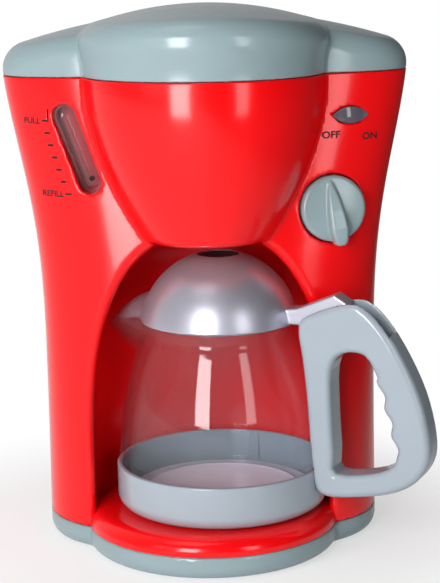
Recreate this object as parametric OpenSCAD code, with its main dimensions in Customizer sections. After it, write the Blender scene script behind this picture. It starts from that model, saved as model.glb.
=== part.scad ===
// Toy coffee maker: three-lobed machine with a hinged tank cover, a turning
// knob, a level gauge and a lift-out carafe with a hinged lid.
// Origin: centre of the machine's axis on the table. Front is -Y, right is +X.

/* [Body] */
// Height of the seam between the red body and the cover
seam_z = 207; // [200:0.5:212]
// Height of the grey base band
base_h = 10; // [8:0.5:11]
// Y of the widest section, where the two body shells meet
mid_y = 20; // [18:0.5:22]
// Half width of the body at the waist
waist_w = 74.2; // [73:0.2:78]
// Extra half width at the foot of the body
foot_spread = 1.2; // [0:0.2:3]
// Extra half width where the wings flare out to the top
flare_w = 16.3; // [12:0.1:19]
// Reach of the wings forward of the widest section, at the foot
reach_foot = 56; // [54:0.5:58]
// Reach of the wings forward of the widest section, at the seam
reach_top = 37; // [34:0.5:40]
// Reach of the body backward of the widest section
reach_back = 50; // [49:0.5:54]
// Wall of the body shells
wall = 2.2; // [1.6:0.1:2.6]

/* [Brew head] */
// Height of the underside of the brew head
head_z = 136.5; // [134:0.5:140]
// Radius of the head at its underside
head_foot_r = 28; // [26:0.5:30]
// Radius of the head at the seam
head_top_r = 53.5; // [50:0.5:56]
// Y of the head's centre at the seam
head_top_y = -0.7; // [-4:0.1:2]
// Radius of the recess in the underside of the head
recess_r = 24; // [20:0.5:25]
// Depth of that recess
recess_depth = 6; // [5:0.5:7]

/* [Alcove and warming plate] */
// Y of the axis that the alcove, the plate and the carafe share
bay_y = -13; // [-15:0.5:-11]
// Radius of the alcove up to its shoulder
bay_r = 56.1; // [55:0.1:57]
// Height of the shoulder where the alcove starts to close in
bay_shoulder_z = 60; // [50:1:75]
// Height where the room behind the front wall starts to close in
room_shoulder_z = 108; // [104:1:112]
// Depth of the flange that turns inward round the arch
arch_flange = 8; // [6:0.5:9]
// Height of the flat top of the warming plate
plate_z = 17.7; // [16:0.1:19]
// Radius of the flat top of the warming plate
plate_flat_r = 47.5; // [47:0.1:50]
// Clearance between the plate and the alcove
plate_gap = 0.3; // [0.2:0.05:0.5]

/* [Cover] */
// Height of the cover's crown
crown_z = 237; // [234:0.5:240]
// Height of the wings' crown on the axis
wing_crown_z = 233.5; // [231:0.5:235]
// Edge rounding of the wings of the cover
wing_edge_r = 8; // [5:0.5:9]
// Edge rounding of the centre lobe of the cover
lobe_edge_r = 7; // [5:0.5:9]
// Gap between the cover and the body
cover_gap = 0.4; // [0.3:0.05:0.6]
// Radius of the hinge pins
hinge_pin_r = 1.2; // [1:0.05:1.4]
// Radius of the hinge knuckles
knuckle_r = 3.4; // [3:0.1:3.8]
// X of the middle of each hinge
hinge_x = 31; // [26:0.5:36]
// Width of each of a hinge's three knuckles
knuckle_w = 5; // [4:0.5:6]

/* [Knob and valve] */
// Distance of the knob inside the waist
knob_inset = 19.9; // [18:0.1:22]
// Y of the knob's seat
knob_y = -15.6; // [-18:0.1:-14]
// Z of the knob
knob_z = 149.1; // [147:0.1:152]
// Angle by which the knob faces outward
knob_yaw = 12; // [8:0.5:14]
// Angle by which the knob faces up
knob_tilt = 3; // [0:0.5:5]
// Radius of the knob
knob_r = 14.35; // [13:0.05:15]
// Angle between the pointer at OFF and straight up
pointer_off_deg = 8; // [0:1:15]
// Gap between the knob and its well
knob_gap = 0.6; // [0.4:0.05:1]
// Radius of the knob's shaft
shaft_r = 3; // [2.6:0.1:3.2]
// Radial running clearance of the shaft
run_gap = 0.05; // [0.03:0.01:0.08]
// Distance of the valve's middle behind the knob's seat
valve_depth = 30; // [28:0.5:33]
// Outer radius of the valve body
valve_r = 8; // [7:0.2:8.4]
// Length of the valve body
valve_len = 14; // [12:0.5:15]

/* [Lens and gauge] */
// Distance of the lens inside the waist
lens_inset = 11.8; // [10:0.1:14]
// Y of the lens's face
lens_y = -11.6; // [-13:0.1:-10]
// Z of the lens
lens_z = 188.9; // [186:0.1:190]
// Length of the lens
lens_len = 16.8; // [14:0.1:18]
// Height of the lens
lens_h = 7.6; // [6:0.1:8.5]
// Angle by which the lens faces outward
lens_yaw = 18; // [14:0.5:20]
// Distance of the middle of the gauge inside the waist
gauge_inset = 18.8; // [17:0.1:20]
// Z of the middle of the gauge
gauge_z = 176.4; // [174:0.1:178]
// Y of the gauge's flange
gauge_y = -9; // [-10:0.1:-8]
// Width of the gauge window
gauge_w = 10.2; // [9:0.1:11]
// Distance between the centres of the gauge's round ends
gauge_span = 30.4; // [28:0.1:31]
// Lean of the gauge
gauge_lean = 20; // [16:0.5:22]

/* [Tank] */
// Half width of the tank
tank_w = 36; // [32:0.5:37]
// Y of the front of the tank
tank_front_y = -28; // [-30:0.5:-24]
// Y of the back of the tank
tank_back_y = 58; // [52:0.5:60]
// Height of the tank's floor
tank_floor_z = 158; // [157:0.5:162]
// Wall of the tank
tank_wall = 1.8; // [1.4:0.1:2.2]
// Thickness of the deck around the tank
deck_t = 2; // [1.6:0.1:2.4]
// Depth of the deck below the seam
deck_drop = 3.5; // [3:0.1:4.5]

/* [Carafe] */
// X of the carafe's axis
carafe_x = 4.6; // [3.6:0.1:5.2]
// Angle by which the carafe's handle points forward of straight right
handle_deg = 24; // [22:0.5:28]
// Height of the carafe's foot above the plate
foot_gap = 0.3; // [0.2:0.05:0.4]
// Outer radius of the grey cup that holds the jug
cup_r = 46.8; // [46:0.1:47.4]
// Height of the rim of the cup
cup_top_z = 37.3; // [34:0.1:42]
// Wall of the cup
cup_wall = 2.2; // [1.6:0.1:2.4]
// Wall of the clear jug
jug_wall = 1.6; // [1.2:0.1:2]
// Outer radius of the jug's neck
neck_r = 32.8; // [32:0.1:33.4]
// Height of the jug's rim
rim_z = 100.2; // [99:0.1:101]
// Outer radius of the lid
lid_r = 33.9; // [33.4:0.1:34.4]
// Height of the lid's dome above its rim
lid_h = 30.5; // [28:0.5:31]
// Wall of the lid
lid_wall = 1.8; // [1.4:0.1:2.2]
// Radius of the drip hole in the lid
drip_r = 9.2; // [8:0.1:10]
// Thickness of the handle
handle_t = 15; // [14:0.5:16]
// Distance from the axis to the back of the handle
handle_reach = 98.5; // [95:0.5:100]
// Height of the underside of the handle
handle_foot_z = 27.5; // [27:0.5:29]
// Height of the handle's shoulder
handle_top_z = 112.5; // [110:0.5:113]
// Thickness of the handle's foot
foot_t = 15; // [12:0.5:16]
// Thickness of the grip, front to back
grip_t = 12; // [11:0.5:13]
// Number of finger grooves in the grip
finger_grooves = 3; // [2:1:4]
// Depth of a finger groove either side of its mean
groove_depth = 0.9; // [0.4:0.1:1.4]
// Height of the floor under the thumb lever
thumb_floor_z = 101.5; // [100.5:0.5:102.5]
// Height where the jug starts to narrow
belly_z = 50; // [46:1:54]
// Share of the jug's narrowing that is a slow taper
belly_taper = 0.17; // [0.1:0.01:0.3]
// Distance from the axis to the tip of the thumb lever
lever_tip_r = 61; // [59:0.5:63]
// Height of the top of the thumb lever
lever_top_z = 115.5; // [113:0.5:116]
// Half width of the hood over the spout where it leaves the lid
hood_w = 12.4; // [11:0.1:14]
// Half width of the hood at its tip
hood_tip_w = 2.4; // [2:0.1:4]
// Height of the hood's ridge
hood_top_z = 112; // [110:0.5:113]
// Height of the hood's tip
hood_tip_z = 98.6; // [98:0.1:100]
// Width of the thumb channel in the handle
channel_w = 10; // [9:0.1:10.4]
// Gap between the lid's arm and the channel, each side
arm_gap = 0.4; // [0.3:0.05:0.6]
// Distance of the lid's hinge from the carafe's axis
lid_hinge_r = 45.5; // [44.8:0.1:46]
// Height of the lid's hinge
lid_hinge_z = 101.5; // [101:0.1:102]
// Radius of the lid's hinge pin
lid_pin_r = 1.2; // [1:0.05:1.4]

/* [Battery box] */
// Room for the contacts at each end of a cell
contact_room = 3.75; // [3.5:0.25:6]
// Wall of the battery box
box_wall = 1.5; // [1.2:0.1:2]
// Height of the bottom of the battery box
box_z0 = 23.8; // [22:0.1:26]
// Height of the top of the battery box
box_z1 = 66; // [64:0.5:70]
// Y of the front of the battery box
box_y0 = 47.5; // [47:0.1:48.5]
// Radius of a cell
cell_r = 7.1; // [6.9:0.05:7.2]
// Length of a cell
cell_len = 49.5; // [48:0.5:50]

/* [Fasteners] */
// Radius of the screws' threads
screw_r = 1.3; // [1.1:0.05:1.4]
// Radius of the screws' heads
screw_head_r = 2.8; // [2.4:0.1:2.9]
// Radius of the screw bosses
boss_r = 4.2; // [4:0.1:4.6]

/* [Hidden] */
$fn = 64;

red = "#e0231f";
grey = "#98aeb0";
pale_grey = "#b7c3cd";
silver = "#a9a9ad";
clear = "#d8e4ea";

front_n = 2.8;          // squareness of the wings' plan in front
back_n = 3.2;           // squareness of the plan behind
arc_steps = 22;         // facets round each half of the body
flare_z0 = 105;         // where the flare starts
flare_z1 = 225;         // where the flare would end
eps = 0.01;
fit = 0.1;              // radial seat of a fixed piece in its hole
face_gap = 0.2;         // between seated faces of separate pieces
body_z0 = base_h + 0.2; // underside of the red shells

// ---------------------------------------------------------------- functions
function smooth(t) = let(c = min(1, max(0, t))) c * c * (3 - 2 * c);
function spow(v, e) = sign(v) * pow(abs(v), e);

// half width and forward reach of the wings at height z
function half_w(z) = waist_w
    + foot_spread * pow(max(0, 1 - z / 65), 2)
    + flare_w * smooth((z - flare_z0) / (flare_z1 - flare_z0));
function reach(z, side) = side < 0 ? reach_foot + (reach_top - reach_foot) * z / seam_z : reach_back;
function squareness(side) = side < 0 ? front_n : back_n;

// one half of the body's plan, from +X round the front (side -1) or back (side 1) to -X
function half_plan(z, inset, side) = [for (i = [0 : arc_steps])
    let(t = 180 * i / arc_steps, e = 2 / squareness(side))
    [(half_w(z) - inset) * spow(cos(t), e), mid_y + side * (reach(z, side) - inset) * spow(sin(t), e)]];

// the brew head's circle at height z
head_lift = seam_z - head_z;
function head_r(z) = head_top_r - (head_top_r - head_foot_r) * pow(max(0, (seam_z - z) / head_lift), 1.8);
function head_y(z) = bay_y + (head_top_y - bay_y) * (z - head_z) / head_lift;

// radius of the alcove at height z
function bay_radius(z) = let(t = max(0, (z - bay_shoulder_z) / (head_z - bay_shoulder_z)))
    head_foot_r + (bay_r - head_foot_r) * pow(1 - pow(t, 1.9), 0.75);

function at_z(ring, z) = [for (p = ring) [p[0], p[1], z]];
function circle_ring(r, y, z, steps) = [for (i = [0 : steps - 1])
    [r * cos(360 * i / steps), y + r * sin(360 * i / steps), z]];

// closed curve through points, with `steps` pieces between neighbours
function curve_point(a, b, c, d, t) = 0.5 * ((2 * b) + (c - a) * t
    + (2 * a - 5 * b + 4 * c - d) * t * t + (3 * b - a - 3 * c + d) * t * t * t);
function closed_curve(p, steps) = let(n = len(p)) [for (i = [0 : n - 1], j = [0 : steps - 1])
    curve_point(p[(i + n - 1) % n], p[i], p[(i + 1) % n], p[(i + 2) % n], j / steps)];

// ---------------------------------------------------------------- helpers
// solid skinned over a stack of rings that hold the same number of points
module loft(rings) {
    n = len(rings[0]);
    m = len(rings);
    sides = [for (k = [0 : m - 2], i = [0 : n - 1])
        [k * n + i, (k + 1) * n + i, (k + 1) * n + (i + 1) % n, k * n + (i + 1) % n]];
    polyhedron(points = [for (r = rings) each r],
        faces = concat([[for (i = [0 : n - 1]) i]], sides, [[for (i = [0 : n - 1]) m * n - 1 - i]]));
}

// places children on a face that looks forward, turned outward and up
module on_face(x, y, z, yaw, tilt) {
    translate([x, y, z]) rotate([90 - tilt, 0, yaw]) children();
}

module mirrored() {
    children();
    mirror([1, 0, 0]) children();
}

// flat bar with round ends, standing in the XY plane
module slot_2d(r, span) {
    translate([-r, -span / 2]) square([2 * r, span]);
    for (s = [-1, 1]) translate([0, s * span / 2]) circle(r);
}

module rounded_rect(x0, y0, x1, y1, r) {
    translate([x0 + r, y0]) square([x1 - x0 - 2 * r, y1 - y0]);
    translate([x0, y0 + r]) square([x1 - x0, y1 - y0 - 2 * r]);
    for (x = [x0 + r, x1 - r], y = [y0 + r, y1 - r]) translate([x, y]) circle(r);
}

// ring of a hose's section at p, square to the direction d
hose_sides = 10;
function hose_ring(p, d, r, up) = let(u = cross(up, d) / norm(cross(up, d)), v = cross(d, u) / norm(d))
    [for (k = [0 : hose_sides - 1]) p + r * (cos(360 * k / hose_sides) * u + sin(360 * k / hose_sides) * v)];

// hollow hose swept through points; `up` is any direction that the hose never follows
module hose(points, r, bore, up) {
    n = len(points);
    dirs = [for (i = [0 : n - 1]) points[min(n - 1, i + 1)] - points[max(0, i - 1)]];
    outer = [for (i = [0 : n - 1]) hose_ring(points[i], dirs[i], r, up)];
    inner = [for (i = [n - 1 : -1 : 0]) hose_ring(points[i], dirs[i], bore, up)];
    rings = concat(outer, inner);
    m = len(rings);
    polyhedron(points = [for (q = rings) each q],
        faces = [for (k = [0 : m - 1], i = [0 : hose_sides - 1])
            let(a = k * hose_sides, b = ((k + 1) % m) * hose_sides, j = (i + 1) % hose_sides)
            each [[a + i, a + j, b + j], [a + i, b + j, b + i]]]);
}

// pan-head screw standing on z = 0 with its thread downward
module screw(len) {
    translate([0, 0, -len]) cylinder(h = len, r = screw_r, $fn = 32);
    difference() {
        cylinder(h = 1.8, r = screw_head_r, $fn = 32);
        for (a = [0, 90]) rotate(a) translate([-1.6, -0.3, 1]) cube([3.2, 0.6, 1]);
    }
}

// ---------------------------------------------------------------- body solids
body_levels = [0, 0.06, 0.2, 0.34, 0.46, 0.55, 0.64, 0.73, 0.82, 0.91, 1];
function body_zs(z0, z1) = [for (t = body_levels) z0 + (z1 - z0) * t];

// solid half of the body; side -1 is the front
module body_half(side) {
    rings = [for (z = body_zs(body_z0, seam_z)) at_z(half_plan(z, 0, side), z)];
    if (side < 0) loft([for (r = rings) [for (i = [len(r) - 1 : -1 : 0]) r[i]]]);
    else loft(rings);
}

// the room inside a half of the body, open at the top, the bottom and the middle
module body_room(side, inset) {
    past = mid_y - side;
    function ring(z) = let(h = half_plan(min(seam_z, max(body_z0, z)), inset, side))
        at_z(concat([[h[0][0], past]], h, [[h[len(h) - 1][0], past]]), z);
    rings = [for (z = body_zs(body_z0 - 1, seam_z + 1)) ring(z)];
    if (side < 0) loft([for (r = rings) [for (i = [len(r) - 1 : -1 : 0]) r[i]]]);
    else loft(rings);
}

head_steps = 44;
head_levels = [0.04, 0.12, 0.24, 0.38, 0.54, 0.7, 0.86, 1];

module head_solid() {
    edge = 2.2;
    low = circle_ring(head_foot_r - edge, bay_y, head_z, head_steps);
    loft(concat([low], [for (t = head_levels) let(z = head_z + t * head_lift)
        circle_ring(head_r(z), head_y(z), z, head_steps)]));
}

liner_top_z = head_z + recess_depth + wall;

module head_room() {
    zs = [for (t = [0, 0.2, 0.4, 0.55, 0.7, 0.8, 0.9, 1]) liner_top_z + t * (seam_z - liner_top_z)];
    rings = [for (z = zs) circle_ring(head_r(z) - wall, head_y(z), z, head_steps)];
    top = circle_ring(head_r(seam_z) - wall, head_y(seam_z), seam_z + 1, head_steps);
    loft(concat(rings, [top]));
}

// the alcove, from under the plate up into the recess of the head
bay_curve = [for (i = [0 : 12]) let(t = 1 - pow(1 - i / 12, 1.6),
    z = bay_shoulder_z + t * (head_z - bay_shoulder_z)) [bay_radius(z), z]];

module bay_room() {
    translate([0, bay_y, 0]) rotate_extrude($fn = 96)
        polygon(concat([[0, base_h - 1], [bay_r, base_h - 1]], bay_curve,
            [[recess_r, head_z], [recess_r, head_z + recess_depth], [0, head_z + recess_depth]]));
}

// solid that the front wall's flange round the arch is cut from
module arch_backing() translate([0, bay_y, 0]) rotate_extrude($fn = 96)
    polygon(concat([[0, body_z0], [bay_r + wall, body_z0]], [for (p = bay_curve) [p[0] + wall, p[1]]],
        [[head_foot_r + wall, liner_top_z], [0, liner_top_z]]));

// section of the room behind the front wall, grown by `out`
function room_curve(out) = [for (i = [0 : 12]) let(a = 7.5 * i)
    [head_foot_r + out + (bay_r - head_foot_r) * cos(a),
     room_shoulder_z + out * sin(a) + (head_z - room_shoulder_z) * sin(a)]];

module room(out, inset) intersection() {
    translate([0, bay_y, 0]) rotate_extrude($fn = 96)
        polygon(concat([[0, body_z0 - 1 + out], [bay_r + out, body_z0 - 1 + out]], room_curve(out),
            [[0, head_z + out]]));
    union() {
        body_room(-1, inset);
        translate([-100, mid_y + 0.5, 0]) cube([200, 60, seam_z]);
    }
}

// back of the alcove, from behind the arch's flange up to the ceiling under the brew head
module alcove_liner() color(red) difference() {
    room(wall, arch_flange + face_gap);
    room(0, arch_flange + face_gap + wall);
    bay_room();
    translate([0, bay_y, head_z - 4]) cylinder(h = 20, r = head_foot_r + wall + face_gap);
}

// ---------------------------------------------------------------- fixing points
knob_x = waist_w - knob_inset;
lens_x = waist_w - lens_inset;
gauge_x = gauge_inset - waist_w;
box_w = cell_len / 2 + contact_room + box_wall;
shell_screw_at = [[waist_w - 0.2, 185], [waist_w - 10.2, 110], [waist_w - 10.2, 40]];   // x, z
base_screw_front = [waist_w - 14.2, mid_y - 16];
base_screw_back = [waist_w - 26.2, mid_y + 30];
tank_screw_front = [waist_w - 0.2, mid_y - 12];
tank_screw_back = [waist_w - 0.2, mid_y + 14];
deck_z = seam_z - deck_drop;
post_top = deck_z - deck_t - face_gap;
post_z0 = 185;          // foot of the posts that carry the deck, on the bosses of the top shell screws
base_lip_z = base_h + 3;
gusset_z = base_lip_z + 0.3;

module front_bosses() {
    for (p = shell_screw_at) translate([p[0], mid_y, p[1]]) rotate([90, 0, 0]) cylinder(h = 60, r = boss_r);
    translate([base_screw_front[0], base_screw_front[1], body_z0]) cylinder(h = 16, r = boss_r);
    translate([base_screw_front[0], base_screw_front[1] - 1, gusset_z]) cube([30, 2, 12]);
    translate([tank_screw_front[0], tank_screw_front[1], post_z0])
        cylinder(h = post_top - post_z0, r = boss_r - 0.4);
}

module front_boss_holes() {
    for (p = shell_screw_at) translate([p[0], mid_y + eps, p[1]]) rotate([90, 0, 0])
        cylinder(h = 14, r = screw_r, $fn = 32);
    translate([base_screw_front[0], base_screw_front[1], body_z0 - eps])
        cylinder(h = 13, r = screw_r, $fn = 32);
    translate([tank_screw_front[0], tank_screw_front[1], post_top - 8])
        cylinder(h = 9, r = screw_r, $fn = 32);
}

// ---------------------------------------------------------------- knob seat
well_r = knob_r + knob_gap;
well_floor = -5.2;
well_t = 2;

module at_knob() { on_face(knob_x, knob_y, knob_z, knob_yaw, knob_tilt) children(); }
module at_lens() { on_face(lens_x, lens_y, lens_z, lens_yaw, knob_tilt) children(); }
module at_gauge() { translate([gauge_x, gauge_y, gauge_z]) rotate([90, -gauge_lean, 0]) children(); }

// pointed oval of two arcs
module almond(len, h) {
    r = (len * len + h * h) / (4 * h);
    intersection_for(s = [-1, 1]) translate([0, s * (r - h / 2)]) circle(r, $fn = 160);
}

board_depth = 9;
board_t = 1.2;
board_post_y = 6.6;
board_hole_r = 0.8;
lens_seat = 1;
gauge_r = gauge_w / 2;
flange = 1.6;           // width of the gauge's flange round its window

// posts that carry the lamp's board, with heat-staked pegs through it
module board_posts() for (s = [-1, 1]) translate([0, s * board_post_y, -board_depth]) {
    translate([0, 0, 0.1]) cylinder(h = 14, r = 1.6, $fn = 32);
    translate([0, 0, -board_t - 0.2]) cylinder(h = board_t + 1, r = board_hole_r - fit, $fn = 32);
    translate([0, 0, -board_t - 0.7]) cylinder(h = 0.6, r = 1.3, $fn = 32);
}

// posts behind the knob's well that carry the valve and the switch
module valve_posts() {
    front = -valve_depth + valve_len / 2 + fit;
    for (p = [[-6.2, 0], [0, -6.2]]) translate([p[0], p[1], front])
        cylinder(h = well_floor - front - 0.5, r = 1.6, $fn = 32);
    translate([switch_x + 0.5, -2, cam_depth + 4 + fit]) cube([3, 6, well_floor - cam_depth - 4.6]);
}

module front_shell() color(red) difference() {
    union() {
        difference() {
            union() {
                body_half(-1);
                difference() {
                    head_solid();
                    translate([-100, mid_y - 1, 0]) cube([200, 60, seam_z + 1]);
                }
            }
            body_room(-1, wall);
            head_room();
        }
        difference() {
            intersection() {
                body_half(-1);
                arch_backing();
            }
            body_room(-1, arch_flange);
        }
        translate([0, bay_y, head_z]) cylinder(h = liner_top_z - head_z, r = head_foot_r + wall);
        intersection() {
            body_half(-1);
            union() {
                mirrored() front_bosses();
                at_knob() translate([0, 0, well_floor - well_t]) cylinder(h = 30, r = well_r + wall);
                at_lens() board_posts();
                at_knob() valve_posts();
                at_gauge() linear_extrude(14) slot_2d(gauge_r + flange, gauge_span);
            }
        }
    }
    bay_room();
    mirrored() front_boss_holes();
    at_knob() translate([0, 0, well_floor]) cylinder(h = 40, r = well_r);
    at_knob() translate([0, 0, well_floor - 4]) cylinder(h = 8, r = shaft_r + run_gap);
    at_lens() translate([0, 0, -20]) linear_extrude(40) almond(lens_len - 1.6, lens_h - 1.4);
    at_lens() translate([0, 0, -lens_seat]) linear_extrude(20) almond(lens_len, lens_h);
    at_gauge() translate([0, 0, -eps]) linear_extrude(30) slot_2d(gauge_r, gauge_span);
    at_gauge() translate([0, 0, -12]) linear_extrude(12) slot_2d(gauge_r + flange + 0.3, gauge_span);
    translate([0, bay_y, liner_top_z - 5]) cylinder(h = 10, r = nozzle_r + fit);
}

// ---------------------------------------------------------------- rear shell
door_gap = 0.3;
door_half_w = box_w - 0.9;
door_z0 = box_z0 + 0.6;
door_z1 = box_z1 - 0.6;
hinge_y = mid_y + reach_back + 3.6;
hinge_z = seam_z + 0.2;

module rear_shell() color(red) difference() {
    union() {
        difference() {
            body_half(1);
            body_room(1, wall);
        }
        intersection() {
            body_half(1);
            mirrored() {
                for (p = shell_screw_at) translate([p[0], mid_y, p[1]]) rotate([-90, 0, 0])
                    cylinder(h = 60, r = boss_r + 0.8);
                translate([base_screw_back[0], base_screw_back[1], body_z0]) cylinder(h = 14, r = boss_r);
                translate([base_screw_back[0] - 1, base_screw_back[1], gusset_z]) cube([2, 30, 10]);
                translate([tank_screw_back[0], tank_screw_back[1], post_z0])
                    cylinder(h = post_top - post_z0, r = boss_r - 0.4);
            }
        }
        mirrored() for (s = [-1, 1]) translate([hinge_x + s * knuckle_w - knuckle_w / 2 + cover_gap / 2,
            0, 0]) {
            translate([0, hinge_y, hinge_z]) rotate([0, 90, 0])
                cylinder(h = knuckle_w - cover_gap, r = knuckle_r);
            translate([0, hinge_y - knuckle_r - 1.4, hinge_z - 9])
                cube([knuckle_w - cover_gap, 4.8, 9 - cover_gap]);
        }
    }
    mirrored() {
        for (p = shell_screw_at) translate([p[0], mid_y + 4, p[1]]) rotate([-90, 0, 0])
            cylinder(h = 60, r = screw_head_r + 0.4);
        for (p = shell_screw_at) translate([p[0], mid_y - 1, p[1]]) rotate([-90, 0, 0])
            cylinder(h = 8, r = screw_r + fit, $fn = 32);
        translate([base_screw_back[0], base_screw_back[1], body_z0 - eps])
            cylinder(h = 12, r = screw_r, $fn = 32);
        translate([tank_screw_back[0], tank_screw_back[1], post_top - 8])
            cylinder(h = 9, r = screw_r, $fn = 32);
        translate([hinge_x - 20, hinge_y, hinge_z]) rotate([0, 90, 0])
            cylinder(h = 40, r = hinge_pin_r, $fn = 32);
    }
    translate([-door_half_w - door_gap, mid_y + 30, door_z0 - door_gap])
        cube([2 * (door_half_w + door_gap), 40, door_z1 - door_z0 + 2 * door_gap]);
}

// ---------------------------------------------------------------- base and plate
floor_z = 2.5;

function base_outline(inset) = concat(
    [for (p = half_plan(body_z0, inset, 1)) p],
    [for (i = [arc_steps - 1 : -1 : 1]) half_plan(body_z0, inset, -1)[i]]);

module base_plan(inset) {
    polygon(base_outline(inset));
    translate([0, bay_y]) circle(bay_r - plate_gap + 0.2 - inset, $fn = 96);
}

module base() color(grey) difference() {
    union() {
        linear_extrude(base_h) base_plan(0);
        translate([0, 0, base_h - eps]) linear_extrude(base_lip_z - base_h) difference() {
            polygon(base_outline(wall + 0.3));
            polygon(base_outline(wall + 2));
            translate([0, bay_y]) circle(bay_r + wall + 0.4, $fn = 96);
        }
    }
    translate([0, 0, -1]) linear_extrude(floor_z + 1) base_plan(wall);
    translate([0, 0, floor_z + 2]) linear_extrude(20) difference() {
        base_plan(wall + 2);
        mirrored() for (p = [base_screw_front, base_screw_back]) translate(p) circle(boss_r);
        for (x = [-40, 0, 40]) translate([x - 0.9, -80]) square([1.8, 200]);
        for (y = [-35, 20]) translate([-100, y]) square([200, 1.8]);
        translate([0, bay_y]) circle(20);
    }
    mirrored() for (p = [base_screw_front, base_screw_back]) translate([p[0], p[1], -1]) {
        cylinder(h = 20, r = screw_r + fit, $fn = 32);
        cylinder(h = 5.5, r = screw_head_r + 0.4, $fn = 32);
    }
}

plate_r = bay_r - plate_gap;

module warming_plate() color(red) translate([0, bay_y, 0]) rotate_extrude($fn = 96) {
    lip = [for (i = [0 : 7]) let(a = 90 - 90 * i / 7)
        [plate_flat_r + (plate_r - plate_flat_r) * cos(a),
         base_h + 1.6 + (plate_z - base_h - 1.6) * sin(a)]];
    polygon(concat([[0, plate_z - wall], [0, plate_z]], lip,
        [[plate_r, base_h + face_gap], [plate_r - wall, base_h + face_gap],
         [plate_r - wall, plate_z - wall - 2], [plate_flat_r - 2, plate_z - wall]]));
}

// ---------------------------------------------------------------- cover
cover_levels = [0, 25, 50, 70, 90];
crown_scales = [0.72, 0.42, 0.04];

function wing_top(x, y) = wing_crown_z - 0.0019 * x * x - 0.004 * pow(y - mid_y, 2);
function lobe_top(x, y) = crown_z - 0.0033 * x * x - 0.0013 * pow(y - mid_y + 10, 2);

function wing_outline(inset) = concat(
    [for (p = half_plan(seam_z, inset, 1)) [p[0], p[1] - mid_y]],
    [for (i = [arc_steps - 1 : -1 : 1]) let(p = half_plan(seam_z, inset, -1)[i]) [p[0], p[1] - mid_y]]);
lobe_back_y = mid_y + reach_back - head_top_r;
lobe_half = (lobe_back_y - head_top_y) / 2;
lobe_mid_y = head_top_y + lobe_half;
function lobe_outline(inset) = [for (i = [0 : 2 * arc_steps - 1]) let(t = 180 * i / arc_steps)
    [(head_top_r - inset) * cos(t), (head_top_r - inset) * sin(t) + lobe_half * sign(sin(t))]];

// domed cap over a plan outline: wall, rounded edge, crown
module cap(outline, y0, edge, sunk, z0, half, top) {
    function ring(s, drop) = [for (p = outline) let(x = s * p[0], y = y0 + s * p[1])
        [x, y, (top == "wing" ? wing_top(x, y) : lobe_top(x, y)) - sunk - drop]];
    foot = [for (p = outline) [p[0], y0 + p[1], z0]];
    edges = [for (a = cover_levels) ring(1 - edge * (1 - cos(a)) / half, edge * (1 - sin(a)))];
    crown = [for (k = crown_scales) ring(k, 0)];
    loft(concat([foot], edges, crown));
}

module cover_solid(inset, z0) {
    cap(wing_outline(inset), mid_y, wing_edge_r - inset, inset, z0, half_w(seam_z), "wing");
    cap(lobe_outline(inset), lobe_mid_y, lobe_edge_r - inset, inset, z0, head_top_r, "lobe");
}

cover_z0 = seam_z + cover_gap;

module top_cover() color(grey) difference() {
    union() {
        difference() {
            cover_solid(0, cover_z0);
            cover_solid(wall, cover_z0 - 1);
        }
        mirrored() translate([hinge_x - knuckle_w / 2 + cover_gap / 2, 0, 0]) {
            translate([0, hinge_y, hinge_z]) rotate([0, 90, 0])
                cylinder(h = knuckle_w - cover_gap, r = knuckle_r);
            translate([0, hinge_y - knuckle_r - 1.4, cover_z0]) cube([knuckle_w - cover_gap, 5, 4]);
        }
    }
    mirrored() translate([hinge_x - 20, hinge_y, hinge_z]) rotate([0, 90, 0])
        cylinder(h = 40, r = hinge_pin_r + run_gap, $fn = 32);
}

module cover_hinge_pins() color("silver") mirrored()
    translate([hinge_x - 1.5 * knuckle_w, hinge_y, hinge_z]) rotate([0, 90, 0])
        cylinder(h = 3 * knuckle_w, r = hinge_pin_r, $fn = 32);

// ---------------------------------------------------------------- tank
tank_corner = 12;
barb_r = 2;
hose_wall = 1;
hose_bore = (barb_r + run_gap) / cos(180 / hose_sides);
hose_r = barb_r + hose_wall;
tank_port_z = tank_floor_z + 6;
gauge_port_y = gauge_y + 23;
valve_x = knob_x - valve_depth * sin(knob_yaw) * cos(knob_tilt);
valve_y = knob_y + valve_depth * cos(knob_yaw) * cos(knob_tilt);
valve_z = knob_z - valve_depth * sin(knob_tilt);

module deck_plan() {
    z = deck_z - deck_t;
    inset = wall + 0.4;
    polygon(concat([for (p = half_plan(z, inset, 1)) p],
        [for (i = [arc_steps - 1 : -1 : 1]) half_plan(z, inset, -1)[i]]));
    translate([0, head_y(z)]) circle(head_r(z) - inset - 0.4, $fn = 96);
}

module water_tank() color("#cfd6d8") difference() {
    union() {
        translate([0, 0, deck_z - deck_t]) linear_extrude(deck_t) deck_plan();
        translate([0, 0, tank_floor_z]) linear_extrude(deck_z - tank_floor_z)
            rounded_rect(-tank_w, tank_front_y, tank_w, tank_back_y, tank_corner);
        translate([tank_w - 1, valve_y, tank_port_z]) rotate([0, 90, 0])
            cylinder(h = 6, r = barb_r, $fn = 32);
        translate([-tank_w + 1, gauge_port_y, tank_port_z]) rotate([0, -90, 0])
            cylinder(h = 6, r = barb_r, $fn = 32);
    }
    translate([0, 0, tank_floor_z + tank_wall]) linear_extrude(80)
        rounded_rect(-tank_w + tank_wall, tank_front_y + tank_wall, tank_w - tank_wall,
            tank_back_y - tank_wall, tank_corner - tank_wall);
    translate([tank_w - 4, valve_y, tank_port_z]) rotate([0, 90, 0])
        cylinder(h = 12, r = barb_r - 0.6, $fn = 32);
    translate([-tank_w + 4, gauge_port_y, tank_port_z]) rotate([0, -90, 0])
        cylinder(h = 12, r = barb_r - 0.8, $fn = 32);
    mirrored() for (p = [tank_screw_front, tank_screw_back]) translate([p[0], p[1], deck_z - 5])
        cylinder(h = 10, r = screw_r + fit, $fn = 32);
}

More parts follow.
